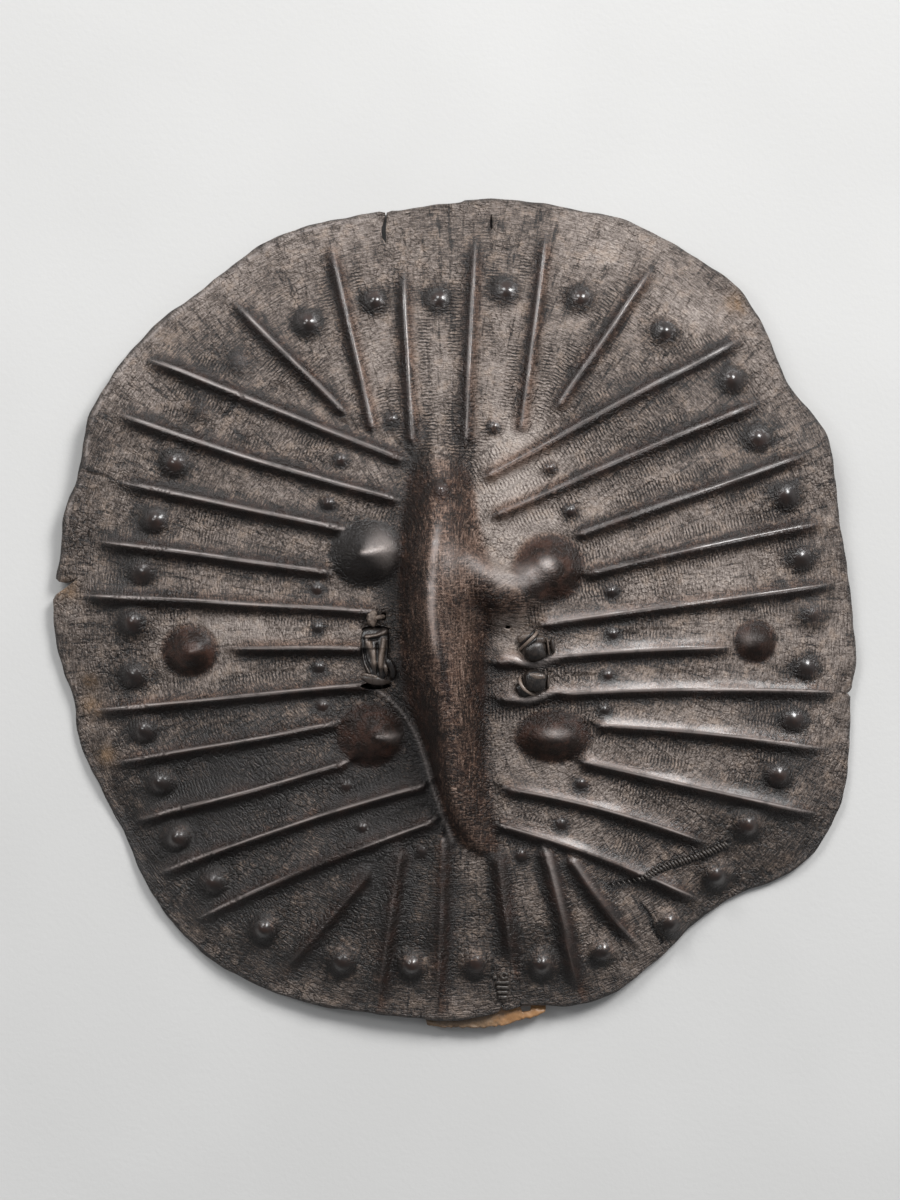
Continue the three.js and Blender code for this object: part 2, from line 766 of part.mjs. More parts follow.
function tearThread() {
  const tear = tearLine();
  const route = [];
  for (let i = 0; i <= 2 * TEAR_STITCHES; i += 1) {
    const share = i / (2 * TEAR_STITCHES);
    const at = tear.getPointAt(share);
    const along = tear.getTangentAt(share);
    const side = (i % 2 === 0 ? 1 : -1) * TEAR_STITCH_REACH;
    const x = at.x - along.y * side;
    const y = at.y + along.x * side;
    route.push([x, y, threadHeight(x, y)]);
  }
  return sweep(roundSection(THREAD_RADIUS, 5), route, 4 * TEAR_STITCHES);
}

function splitThread() {
  const route = [];
  for (let i = 0; i < SPLIT_STITCHES; i += 1) {
    const y = SPLIT_TOP - i * SPLIT_STITCH_PITCH;
    const half = (i % 2 === 0 ? -1 : 1) * (SPLIT_STITCH_LENGTH / 2);
    for (const x of [SPLIT_X + half, SPLIT_X, SPLIT_X - half]) {
      route.push([x, y, threadHeight(x, y)]);
    }
  }
  return sweep(roundSection(THREAD_RADIUS, 5), route, 5 * SPLIT_STITCHES);
}

// ---- The raw-hide patch behind the bottom rim ----
function patchTop(x, y) {
  const bearing = Math.atan2(y, x) / DEGREES;
  const inset = Math.max(0, rimReach(bearing) - Math.hypot(x, y));
  const [nearX, nearY] = rimPoint(bearing, inset);
  const nearest = Math.min(...[-4, 0, 4].map((step) => backHeight(nearX + step, nearY)));
  return nearest - CLEARANCE;
}

function patchSolid(hide) {
  const edge = new THREE.CatmullRomCurve3(vectors(PATCH_EDGE), true, 'centripetal');
  const loop = edge.getSpacedPoints(32).slice(0, -1).map((point) => [point.x, point.y]);
  const inner = [];
  for (let x = PATCH_ENDS[0]; x <= PATCH_ENDS[1]; x += PATCH_STEP) {
    for (const y of PATCH_ROWS) {
      addPoint(inner, [x + 0.1 * y, y], POINT_GAP);
    }
  }
  const offEdge = ([x, y]) => loop.every((point) => Math.hypot(point[0] - x, point[1] - y) > POINT_GAP);
  const clear = inner.filter(offEdge);
  const patchUnder = (x, y) => patchTop(x, y) - PATCH_THICKNESS;
  const slab = toManifold(slabGeometry(loop, clear, clear, patchTop, patchUnder));
  const lowered = toManifold(toGeometry(hide).translate(0, 0, -CLEARANCE));
  return slab.subtract(hide).subtract(lowered);
}

// ---- Materials ----
function material(color, roughness) {
  return new THREE.MeshStandardMaterial({ color, roughness, metalness: 0 });
}

const hideMaterial = material(0x4a3d34, 0.55);
const strapMaterial = material(0x54453a, 0.6);
const thongMaterial = material(0x7a6857, 0.7);
const threadMaterial = material(0x1c1815, 0.8);
const rawhideMaterial = material(0x9a6a3c, 0.75);

// ---- The shield ----
function hideSolid() {
  const loop = [];
  for (let i = 0; i < RIM_STEPS; i += 1) {
    loop.push(rimPoint((i * FULL_TURN) / RIM_STEPS, 0));
  }
  let hide = toManifold(slabGeometry(loop, frontPoints(), backPoints(), frontHeight, backHeight));
  for (const cut of [RIM_CRACK, LEFT_NOTCH, RIGHT_NOTCH, TOP_SLIT]) {
    hide = hide.subtract(throughCut(cut));
  }
  hide = hide.subtract(strapSolid(CLEARANCE));
  return hide.subtract(thongSolid(CLEARANCE));
}

const shield = new THREE.Group();

function addPiece(name, geometry, pieceMaterial) {
  const mesh = new THREE.Mesh(geometry, pieceMaterial);
  mesh.name = name;
  shield.add(mesh);
}

const hide = hideSolid();
addPiece('hide_body', toGeometry(hide), hideMaterial);
addPiece('grip_strap', toGeometry(strapSolid(0)), strapMaterial);
addPiece('thong_knot', toGeometry(thongSolid(0)), thongMaterial);
addPiece('tear_stitching', toGeometry(toManifold(tearThread())), threadMaterial);
addPiece('rim_stitching', toGeometry(toManifold(splitThread())), threadMaterial);
addPiece('rim_patch', toGeometry(patchSolid(hide)), rawhideMaterial);

// The origin goes under the middle of the finished shield.
const bounds = new THREE.Box3().setFromObject(shield);
shield.position.set(-(bounds.min.x + bounds.max.x) / 2, -(bounds.min.y + bounds.max.y) / 2, -bounds.min.z);
shield.updateMatrixWorld(true);

export default shield;
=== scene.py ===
"""Embossed hide shield, lying on its rim with its front up: the fine surface and finish of every piece.

Sizes are millimetres in the shield's own axes: +X right, +Y to its top, +Z up out of its front.
place() turns them into the frame's metres.
"""

import math
from collections import namedtuple
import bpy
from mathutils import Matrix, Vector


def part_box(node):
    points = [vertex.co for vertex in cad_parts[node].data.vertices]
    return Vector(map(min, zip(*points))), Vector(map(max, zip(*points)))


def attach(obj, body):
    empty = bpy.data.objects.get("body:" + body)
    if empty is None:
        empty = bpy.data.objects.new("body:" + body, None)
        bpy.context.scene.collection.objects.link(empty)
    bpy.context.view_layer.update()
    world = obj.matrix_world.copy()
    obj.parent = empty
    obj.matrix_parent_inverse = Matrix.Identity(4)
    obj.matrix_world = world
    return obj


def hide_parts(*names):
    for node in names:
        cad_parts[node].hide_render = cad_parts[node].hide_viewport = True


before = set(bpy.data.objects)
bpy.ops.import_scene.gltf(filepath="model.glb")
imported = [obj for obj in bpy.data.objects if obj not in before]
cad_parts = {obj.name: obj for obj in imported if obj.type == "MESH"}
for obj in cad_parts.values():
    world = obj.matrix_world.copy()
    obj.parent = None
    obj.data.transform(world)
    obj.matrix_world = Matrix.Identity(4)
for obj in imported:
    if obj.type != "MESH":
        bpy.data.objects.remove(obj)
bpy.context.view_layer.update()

from types import SimpleNamespace

import bpy
import numpy as np
from mathutils import Vector, geometry

MM = 0.001

# ---- The dished hide, as in the CAD model ----
HIDE_THICKNESS = 5
DOME_RISE = 62
RIM_LIFT = 4  # mean height of the rim's underside
RIM_WAVE = 7  # the rim rises and dips by this much, three times round, and rests in its dips
RIM_WAVES = 3
RIM_WAVE_CREST = 270  # bearing of one of its crests, in degrees
MAX_SLOPE_FACTOR = 2.6  # steep flanks are thickened, measured upright, up to this many times
GROOVE_SHARE = 0.6  # the back follows this much of the ribs' and bosses' relief
CAD_RIM_STEPS = 132

# Distance of the rim from the centre, as [bearing in degrees, reach].
OUTLINE = np.array([
    [0, 346], [10, 343], [18, 348], [25, 357], [30, 355], [34, 351], [39, 358], [45, 369], [49, 375],
    [60, 373], [67, 373], [74, 367], [87, 362], [93, 358], [100, 356], [115, 363], [128, 358], [137, 362],
    [151, 362], [160, 349], [165, 352], [171, 348], [181, 351], [189, 346], [193, 341], [198, 347],
    [208, 346], [214, 348], [223, 362], [234, 370], [244, 367], [259, 356], [271, 354], [280, 348],
    [287, 357], [292, 359], [300, 351], [308, 342], [315, 349], [323, 372], [329, 377], [335, 374],
    [347, 354], [354, 352],
], float)

# ---- Ribs and bosses, as in the CAD model ----
RIB_HEIGHT = 8.2
RIB_ROUND = 1.3  # radius of the crest
RIB_BELOW = 6  # the flank away from the shield's top is steep
RIB_ABOVE_HIGH_UP = 5.5  # the other one is steep near the shield's top and a broad ramp lower down
RIB_ABOVE_LOW_DOWN = 11.0
RIB_RAMP_FROM = 90
RIB_RAMP_SPAN = 130
RIB_FOOT_DIP = 1.0
RIB_FADE = 34
BOSS_RADIUS = 19
BOSS_HEIGHT = 9.6
DOME_POWER = 2.3
BEAD_RADIUS = 10
BEAD_HEIGHT = 6

# Clockwise from the top, as [outer end x, y, inner end x, y, bow sideways towards the top,
# reach of the boss in the strip after the rib, reach of the small bead in that strip or 0].
RIBS = [
    [18, 333, 9, 151, 0, 283, 164],
    [80, 340, 56, 161, 0, 294, 0],
    [175, 305, 90, 180, 0, 305, 0],
    [256, 242, 31, 119, 0, 314, 149],
    [272, 187, 38, 85, 0, 303, 132],
    [313, 140, 108, 68, 0, 305, 0],
    [327, 80, 117, 34, 2, 303, 135],
    [337, 27, 80, -9, 0, 310, 136],
    [246, -29, 40, -41, 2, 308, 141],
    [337, -69, 43, -72, 5, 307, 152],
    [327, -119, 127, -96, 3, 313, 0],
    [321, -176, 114, -128, 0, 314, 183],
    [223, -201, 49, -150, 5, 323, 203],
    [217, -252, 41, -181, 5, 330, 0],
    [165, -295, 100, -214, -3, 320, 0],
    [108, -334, 77, -207, 0, 314, 215],
    [50, -313, 37, -213, 0, 305, 0],
    [-16, -341, -10, -200, 0, 307, 207],
    [-68, -340, -48, -210, 0, 320, 0],
    [-154, -316, -78, -227, 0, 322, 0],
    [-231, -269, -24, -179, 4, 315, 201],
    [-264, -230, -32, -148, 5, 312, 176],
    [-285, -183, -98, -129, 0, 296, 0],
    [-303, -131, -106, -95, 0, 288, 140],
    [-323, -85, -78, -61, 0, 284, 127],
    [-204, -30, -85, -30, 0, 279, 119],
    [-332, 16, -75, 2, 0, 272, 120],
    [-316, 63, -113, 35, 0, 271, 0],
    [-299, 115, -102, 72, 0, 275, 144],
    [-299, 174, -55, 97, -3, 281, 164],
    [-276, 224, -51, 132, 0, 287, 0],
    [-199, 276, -98, 175, 0, 283, 0],
    [-111, 329, -71, 160, 0, 279, 175],
    [-45, 305, -37, 149, 0, 272, 0],
]

# Where ribs swerve under the knots, as [x, y, radius, shift up].
RIB_BENDS = [[63, -38, 13, -3.5], [47, -36, 9, 1.5], [62, -71, 12, -1.5], [84, -70, 9, 3]]
CRADLES = [  # soft folds that pass under the two knots
    [[34, -35.5], [50, -38], [61, -42.5], [71, -43.5], [80, -40], [92, -36]],
    [[40, -68.5], [52, -71.5], [61, -73.5], [71, -71], [80, -66.5], [90, -65.5]],
]
CRADLE_HEIGHT = 3.2
CRADLE_HALF = 2.8
FAINT_BOSSES = {7: 0.65, 29: 0.4, 30: 0.5}  # strip number: share of the full height
RINGED_BOSSES = (2, 20, 21, 22, 24, 25, 27)  # strips whose boss has fine circles tooled round it
RING_FROM = 13
RING_TO = 27
RING_PITCH = 2.4
RING_DEPTH = 0.45

# As [x, y, radius along x, radius along y, height, sideways lean of the peak].
LARGE_BOSSES = [
    [-76, 51, 32, 31, 24, 5],
    [79, 38, 31, 30, 22, -5],
    [-73, -104, 30, 28, 18, 10],
    [83, -105, 33, 23, 17, 0],
    [-228, -33, 25, 23, 15, 2],
    [258, -25, 19, 19, 10, 3],
]
SHARP_CREASE = [-42, 71, 22]  # where the upper left boss meets the keel, as [x, y, radius]

# Folds on the left bosses, as [start x, y, end x, y, height, half width].
BOSS_RIDGES = [
    [-78, 49, -51, 55, 4.5, 6],
    [-66, -105, -46, -104, 2.4, 3],
    [-226, -34, -214, -32, 1.2, 2.5],
]

# Painted highlights on the lit faces of the large bosses: wedges as [tip x, y, bearing, half spread in
# degrees, reach, strength].
PAINTED_HIGHLIGHT_WEDGES = [
    [-82, 50, 12, 34, 36, 1.0],
    [-69, -104.5, 0, 16, 27, 0.6],
    [-229, -34, 20, 22, 13, 0.3],
]
# Painted highlights on boss tops and along the arm, as [x, y, radius along x, radius along y, strength].
PAINTED_HIGHLIGHT_SPOTS = [
    [77, 41, 6, 5, 0.9],
    [63, 34, 13, 7, 0.5],
    [84, -102, 10, 4, 0.5],
    [252, -23, 6, 5, 0.3],
    [-6, 44, 8, 12, 0.4],
    [8, 44, 10, 4, 0.45],
    [26, 35, 12, 3.4, 0.55],
    [43, 30, 13, 3.2, 0.65],
]

# The hollow keel, top to bottom, as [y, left foot x, crest x, right foot x, height].
KEEL = np.array([
    [160, -28, -16, -3, 0],
    [134, -37, -15, 9, 16],
    [107, -44, -13, 16, 28],
    [79, -48, -14, 21, 38],
    [45, -50, -18, 29, 50],
    [11, -51, -20, 36, 55],
    [-23, -50, -17, 31, 52],
    [-61, -47, -11, 28, 46],
    [-97, -36, -7, 27, 40],
    [-138, -22, -5, 29, 30],
    [-168, -12, 2, 34, 20],
    [-194, -1, 16, 38, 10],
    [-214, 23, 29, 36, 0],
], float)
KEEL_BEAD = [-12, 105]
ARM_FOOT = 1.25  # the arm's foot lies this many half widths from its crest
ARM_FROM = -40  # it rises out of the keel's left flank from this x on
ARM_RISE = 22  # and has its full height this much further right

# The arm from the keel to the upper right boss, as [x, y, height, half width above, half width below].
ARM = [
    [-15, 56, 47, 18, 60],
    [10, 43, 39, 15, 56],
    [34, 30, 30, 12, 44],
    [56, 27, 23, 12, 30],
    [76, 37, 18, 14, 22],
]

# ---- The strap, its knots and holes, as in the CAD model ----
SLIT_X = -68
SLIT_YS = [-14, -62]
KNOT_XS = [68, 65]
KNOT_YS = [-28, -60]
STRAND_Z = 45
STRAND_WIDTH = 15
STRAND_THICKNESS = 6
THONG_HOLE = [-61, -3]
THONG_KNOT = [-71, -5]

# ---- Repairs and damage ----
TEAR = [[133, -235], [159, -229], [181, -219], [211, -210], [235, -200]]
TEAR_SEWN_FROM = 0.24  # share of the tear's length where its close stitching starts
FOLDS = [  # shallow creases in the hide
    [[-322, 122], [-311, 119], [-300, 117]],
    [[-319, 114], [-321, 90], [-318, 62]],
    [[-300, -28], [-290, -44], [-294, -58]],
]
KEEL_FOLD_ROUTE = [[-68, -64], [-50, -79], [-36, -99], [-27, -122], [-20, -146], [-12, -170], [-3, -194]]
CURL = [238, -212, 5.5, 3.2]  # a small curled crease at the tear's end, as [x, y, half width, half height]
RIM_STAINS = [[244, 268, 9], [-316, -82, 9], [-304, -124, 8], [-338, 20, 9], [-318, -60, 6]]  # [x, y, radius]
FINE_CRACKS = [
    [[160, -252], [168, -263], [172, -275], [180, -287]],
    [[-184, 186], [-190, 178], [-199, 169]],
]
SPLIT_X = 40
SPLIT_TOP = -320  # y of its uppermost stitch
SPLIT_STITCHES = 4
SPLIT_STITCH_PITCH = 4.4
SPLIT_STITCH_LENGTH = 13
PATCH_THICKNESS = 3
PATCH_EDGE = [
    [-26, -354], [-21, -360], [14, -361.5], [40, -359.5],
    [58, -354.5], [72, -351], [78, -345], [79, -322], [-25, -322],
]

# Notches open at the rim, anticlockwise along the rim: in along one side, then out along the other.
NOTCHES = [
    [[-59.4, 356], [-60, 346], [-60.5, 332], [-60, 320], [-64, 326], [-65, 333], [-61.6, 346], [-61.6, 356]],
    [[-350, 29], [-345, 27], [-337, 26], [-326, 31], [-338, 22], [-347, 16], [-352, 12]],
    [[38.8, -356], [39.2, -345], [40, -338], [41, -345], [41.4, -355]],
    [[350, -74], [345, -72], [340, -70], [345, -68.5], [350, -67]],
]

# Holes right through, as [x, y, half width, half height].
HOLES = [
    [31, 340, 1.1, 7.2],
    [20, 347, 0.9, 0.9],
    [44, -12, 2.4, 1.6],
    [SLIT_X, SLIT_YS[0], 12, 3.2],
    [SLIT_X, SLIT_YS[1], 13, 3.2],
    [THONG_HOLE[0], THONG_HOLE[1], 2.7, 3.6],
    [KNOT_XS[0], KNOT_YS[0], 8.6, 4.4],
    [KNOT_XS[1], KNOT_YS[1], 8.6, 4.4],
]


# ---- Small helpers ----
def smoothstep(t):
    u = np.clip(t, 0, 1)
    return u * u * (3 - 2 * u)


def bell(distance, half_width):
    return np.exp(-((distance / half_width) ** 2))


def smooth_max(a, b, blend):
    """The larger of two heights, with the crease between two raised forms filled over that height."""
    fill = np.clip(2 * np.minimum(a, b), 1e-6, blend)
    near = np.maximum(fill - np.abs(a - b), 0) / fill
    return np.maximum(a, b) + near * near * fill / 4


def catmull_rom(a, b, c, d, t):
    """A smooth step from b to c, whose slopes there follow from a and d."""
    slope_b, slope_c = (c - a) / 2, (d - b) / 2
    t2 = t * t
    t3 = t2 * t
    return (
        (2 * t3 - 3 * t2 + 1) * b + (t3 - 2 * t2 + t) * slope_b
        + (3 * t2 - 2 * t3) * c + (t3 - t2) * slope_c
    )


def strongest(fields):
    """The largest of several fields at each point, and at least 0."""
    return np.max(list(fields), axis=0, initial=0)


def unit_rows(vectors):
    return vectors / np.linalg.norm(vectors, axis=1)[:, None]


def value_noise(x, y, cell, seed):
    """Smooth random field from -1 to 1, whose bumps are about one cell wide."""
    table = np.random.default_rng(seed).uniform(-1, 1, (64, 64))
    u, v = np.asarray(x) / cell, np.asarray(y) / cell
    i, j = np.floor(u).astype(int), np.floor(v).astype(int)
    s, t = smoothstep(u - i), smoothstep(v - j)

    def corner(a, b):
        return table[(i + a) % 64, (j + b) % 64]

    low = corner(0, 0) * (1 - s) + corner(1, 0) * s
    high = corner(0, 1) * (1 - s) + corner(1, 1) * s
    return low * (1 - t) + high * t


def inside_polygon(polygon, x, y):
    inside = np.zeros(np.shape(x), bool)
    for (x0, y0), (x1, y1) in zip(polygon, np.roll(polygon, -1, axis=0)):
        if y0 != y1:
            crosses = (y0 > y) != (y1 > y)
            inside ^= crosses & (x < x0 + (y - y0) * (x1 - x0) / (y1 - y0))
    return inside


def lengths_along(points):
    """Length of the polyline up to each of its points."""
    return np.concatenate([[0], np.cumsum(np.linalg.norm(np.diff(points, axis=0), axis=1))])


def resampled(points, step):
    """The polyline's points at even steps of about that length, both ends kept."""
    points = np.array(points, float)
    lengths = lengths_along(points)
    count = max(2, int(round(lengths[-1] / step)) + 1)
    at = np.linspace(0, lengths[-1], count)
    return np.stack([np.interp(at, lengths, column) for column in points.T], axis=1)


def curve_through(points, step):
    """A smooth curve through the points, at steps of about that length."""
    points = np.array(points, float)
    padded = np.vstack([2 * points[0] - points[1], points, 2 * points[-1] - points[-2]])
    t = np.linspace(0, 1, 9)[:-1, None]
    pieces = [catmull_rom(*padded[i:i + 4], t) for i in range(len(points) - 1)]
    return resampled(np.vstack([*pieces, points[-1:]]), step)


def nearest_on_segment(start, end, x, y):
    """Share of the way from start to end that is nearest to x, y, and the distance to that place."""
    (x0, y0), (x1, y1) = start, end
    length2 = (x1 - x0) ** 2 + (y1 - y0) ** 2
    share = np.clip(((x - x0) * (x1 - x0) + (y - y0) * (y1 - y0)) / length2, 0, 1)
    return share, np.hypot(x - x0 - share * (x1 - x0), y - y0 - share * (y1 - y0))


def distance_to_line(line, x, y):
    """Distance to a polyline, and the share of its length at the nearest point."""
    best, share = np.full(np.shape(x), 1e9), np.zeros(np.shape(x))
    for i, (start, end) in enumerate(zip(line, line[1:])):
        t, distance = nearest_on_segment(start, end, x, y)
        share = np.where(distance < best, (i + t) / (len(line) - 1), share)
        best = np.minimum(distance, best)
    return best, share


# ---- The hide's height ----
def rim_reach(bearing):
    turned = np.mod(bearing, 360)
    i = np.searchsorted(OUTLINE[:, 0], turned, side="right") - 1
    count = len(OUTLINE)
    after = (i + 1) % count
    t = (turned - OUTLINE[i, 0]) / np.mod(OUTLINE[after, 0] - OUTLINE[i, 0], 360)
    reach = OUTLINE[:, 1]
    return catmull_rom(reach[i - 1], reach[i], reach[after], reach[(i + 2) % count], t)


def ragged_reach(bearing):
    """The rim as it was cut and worn, with small steps of under a millimetre."""
    turn = np.radians(bearing)
    wear = 0.4 * np.sin(19 * turn) + 0.35 * np.sin(43 * turn + 1) + 0.25 * np.sin(97 * turn + 2)
    turned = np.mod(bearing, 360)
    nick = 1.4 * (smoothstep((turned - 88.7) / 0.5) - smoothstep((turned - 96) / 6))  # a step at the top
    return rim_reach(bearing) + wear - nick


def bearing_of(x, y):
    return np.degrees(np.arctan2(y, x))


def oval_reach(x, y, centre_x, centre_y, radius_x, radius_y):
    """0 at the oval's centre, 1 on its edge."""
    return np.hypot((x - centre_x) / radius_x, (y - centre_y) / radius_y)


def rim_points(bearings, reach):
    return np.stack([reach * np.cos(np.radians(bearings)), reach * np.sin(np.radians(bearings))], axis=1)


def dish_height(x, y):
    bearing = bearing_of(x, y)
    share = np.minimum(1, np.hypot(x, y) / rim_reach(bearing))
    wave = RIM_WAVE * np.cos(RIM_WAVES * np.radians(bearing - RIM_WAVE_CREST)) * share ** 3
    return np.maximum(0, RIM_LIFT + wave + DOME_RISE * (1 - share ** 2))


def keel_section(y):
    """Left foot, crest, right foot and height of the keel where it crosses y."""
    last = len(KEEL) - 1
    at = np.clip(y, KEEL[last, 0] + 1e-6, KEEL[0, 0] - 1e-6)
    i = np.clip(np.searchsorted(-KEEL[:, 0], -at, side="right") - 1, 0, last - 1)
    t = (KEEL[i, 0] - at) / (KEEL[i, 0] - KEEL[i + 1, 0])
    before, after = np.maximum(i - 1, 0), np.minimum(i + 2, last)
    return [catmull_rom(KEEL[before, c], KEEL[i, c], KEEL[i + 1, c], KEEL[after, c], t) for c in (1, 2, 3, 4)]


def keel_height(x, y):
    left, crest, right, height = keel_section(y)
    foot = np.where(x < crest, left, right)
    near = np.clip((x - foot) / (crest - foot), 0, 1)
    full = 0.4 * smoothstep(near) + 0.6 * smoothstep(1.3 * near)
    rounded = np.where(x < crest, smoothstep(1.04 * near), full)
    on_keel = (y < KEEL[0, 0]) & (y > KEEL[-1, 0])
    return np.where(on_keel, np.maximum(height, 0) * rounded, 0)


def arm_height(x, y):
    tallest = np.zeros(np.shape(x))
    for row, after in zip(ARM, ARM[1:]):
        t, distance = nearest_on_segment(row[:2], after[:2], x, y)
        height, above, below = [first + t * (last - first) for first, last in zip(row[2:], after[2:])]
        lower_side = (x - row[0]) * (after[1] - row[1]) - (y - row[1]) * (after[0] - row[0]) > 0
        half = np.where(lower_side, below, above)
        tallest = np.maximum(tallest, height * smoothstep(ARM_FOOT - distance / half))
    return tallest * smoothstep((x - ARM_FROM) / ARM_RISE)


def large_boss_height(x, y, boss):
    """Half a rounded hump, half a cone with a leaning peak, and a slight moat round its foot."""
    centre_x, centre_y, radius_x, radius_y, height, lean = boss
    near = 1 - oval_reach(x, y, *boss[:4])
    shift = lean * smoothstep(near)
    share2 = ((x - centre_x - shift) / radius_x) ** 2 + ((y - centre_y) / radius_y) ** 2
    cone = np.clip(1.06 - np.sqrt(share2 + 0.012), 0, 1)
    rounded = 0.45 * np.clip(1 - share2 / 1.2, 0, 1) ** 1.9
    peaked = 0.55 * smoothstep(0.2 * cone + 0.8 * cone ** 0.9) ** 1.15
    moat = 0.6 * bell(near + 0.02, 0.1)
    return height * (rounded + peaked) - moat


def ridge_height(x, y):
    """Short folds that run from the tops of the left bosses towards the keel."""
    raised = []
    for ridge_x, ridge_y, end_x, end_y, height, half in BOSS_RIDGES:
        share, distance = nearest_on_segment((ridge_x, ridge_y), (end_x, end_y), x, y)
        raised.append(height * bell(distance, half * (0.6 + 0.6 * share)) * (1 - 0.5 * share))
    return strongest(raised)


def body_height(x, y):
    """Front face with only its large forms."""
    raised = smooth_max(keel_height(x, y), arm_height(x, y), 12)
    for boss in LARGE_BOSSES:
        raised = smooth_max(raised, large_boss_height(x, y, boss), 6)
    return dish_height(x, y) + HIDE_THICKNESS + raised + ridge_height(x, y)


def rib_frame(rib):
    start, end = np.array(rib[:2], float), np.array(rib[2:4], float)
    length = np.linalg.norm(end - start)
    along = (end - start) / length
    side = np.array([-along[1], along[0]]) if along[0] > 0 else np.array([along[1], -along[0]])
    return start, along, side, length


def rib_point(rib, share, offset):
    start, along, side, length = rib_frame(rib)
    return start + along * share * length + side * (offset + rib[4] * 4 * share * (1 - share))


def rib_coordinates(rib, x, y):
    """Distance along the rib from its outer end, distance off its crest line, and off the crest sideways."""
    start, along, side, length = rib_frame(rib)
    reach = (x - start[0]) * along[0] + (y - start[1]) * along[1]
    share = np.clip(reach / length, 0, 1)
    sideways = (x - start[0]) * side[0] + (y - start[1]) * side[1] - rib[4] * 4 * share * (1 - share)
    return reach, np.hypot(sideways, reach - share * length), sideways


def ramp_share(y):
    """0 near the shield's top, 1 in its lower half."""
    return smoothstep((RIB_RAMP_FROM - y) / RIB_RAMP_SPAN)


def rib_height(x, y, rib):
    reach, distance, sideways = rib_coordinates(rib, x, y)
    above = RIB_ABOVE_HIGH_UP + (RIB_ABOVE_LOW_DOWN - RIB_ABOVE_HIGH_UP) * ramp_share(y)
    rounded = np.sqrt(distance ** 2 + RIB_ROUND ** 2) - RIB_ROUND
    profile = np.where(sideways > 0, np.exp(-rounded / above), bell(distance, RIB_BELOW))
    dip = RIB_FOOT_DIP * bell(distance - 2 * RIB_BELOW, 4.5) * (sideways < 0)
    return smoothstep(reach / RIB_FADE) * (RIB_HEIGHT * profile - dip)


def rib_at_reach(rib, reach):
    start, along, _, _ = rib_frame(rib)
    towards = start @ along
    step = -towards - math.sqrt(max(0, towards ** 2 - (start @ start - reach ** 2)))
    return start + along * step


def strip_point(index, reach):
    """Midway between a rib and the next, at that reach from the centre."""
    return (rib_at_reach(RIBS[index], reach) + rib_at_reach(RIBS[(index + 1) % len(RIBS)], reach)) / 2


BOSSES = [strip_point(index, rib[5]) for index, rib in enumerate(RIBS)]
BEADS = [np.array(KEEL_BEAD, float)] + [strip_point(i, rib[6]) for i, rib in enumerate(RIBS) if rib[6] > 0]
TEAR_LINE = curve_through(TEAR, 2)
CRACK_LINES = [curve_through(crack, 2) for crack in FINE_CRACKS]
FOLD_LINES = [curve_through(fold, 2) for fold in FOLDS]
KEEL_FOLD = curve_through(KEEL_FOLD_ROUTE, 2)
ARM_CREST = curve_through([row[:2] for row in ARM[1:4]], 2)
CRADLE_LINES = [curve_through(cradle, 2) for cradle in CRADLES]


def dome(x, y, centre, radius, height):
    share = np.clip(1 - ((x - centre[0]) ** 2 + (y - centre[1]) ** 2) / radius ** 2, 0, 1)
    return height * share ** DOME_POWER


def lowness(y):
    """0 for the bosses of the shield's upper half, 1 for those near its bottom."""
    return float(smoothstep((-80 - y) / 140))


def dome_relief(x, y):
    raised = [dome(x, y, centre, BEAD_RADIUS, BEAD_HEIGHT) for centre in BEADS]
    for index, centre in enumerate(BOSSES):
        height = BOSS_HEIGHT * FAINT_BOSSES.get(index, 1) * (1 + 0.4 * lowness(centre[1]))
        raised.append(dome(x, y, centre, BOSS_RADIUS, height))
    return strongest(raised)


def rib_relief(x, y):
    return strongest(rib_height(x, y, rib) for rib in RIBS)


def unbent(x, y):
    """Where to look up the relief at x, y: hand work is uneven, and ribs swerve under the knots."""
    shift = 0.9 * value_noise(x, y, 58, 92)
    for bend_x, bend_y, radius, up in RIB_BENDS:
        shift = shift + up * bell(np.hypot(x - bend_x, y - bend_y), radius)
    return x + 0.9 * value_noise(x, y, 52, 91), y - shift


def cradle_share(x, y):
    """1 on the folds under the knots, fading away beside them and at their ends."""
    raised = []
    for line in CRADLE_LINES:
        distance, share = distance_to_line(line, x, y)
        raised.append(bell(distance, CRADLE_HALF) * smoothstep(5 * share) * smoothstep(4 * (1 - share)))
    return strongest(raised)


def small_relief(x, y):
    uneven = 1 + 0.2 * value_noise(x, y, 34, 93)
    at_x, at_y = unbent(x, y)
    raised = uneven * smooth_max(dome_relief(at_x, at_y), rib_relief(at_x, at_y), 1)
    return smooth_max(raised, CRADLE_HEIGHT * cradle_share(x, y), 2)


def tooled_rings(x, y):
    """Fine circles tooled round some bosses, from 0 between them to 1 in their grooves."""
    centres = [BOSSES[index] for index in RINGED_BOSSES] + [np.array(LARGE_BOSSES[4][:2], float)]
    grooved = np.zeros(np.shape(x))
    for centre in centres:
        distance = np.hypot(x - centre[0], y - centre[1])
        fade = smoothstep((distance - RING_FROM) / 3) * smoothstep((RING_TO - distance) / 5)
        grooved = grooved + fade * (0.5 - 0.5 * np.sin(2 * np.pi * distance / RING_PITCH))
    return grooved


def wear_relief(x, y):
    """The hand-worked hide's dents and waves."""
    waves = 1.6 * value_noise(x, y, 62, 1) + 1.1 * value_noise(x, y, 24, 2)
    dents = 0.55 * value_noise(x, y, 11, 3) + 0.24 * value_noise(x, y, 5.2, 4)
    smooth = np.clip(small_relief(x, y) / 3, 0, 0.9)
    return waves + dents * (1 - smooth)


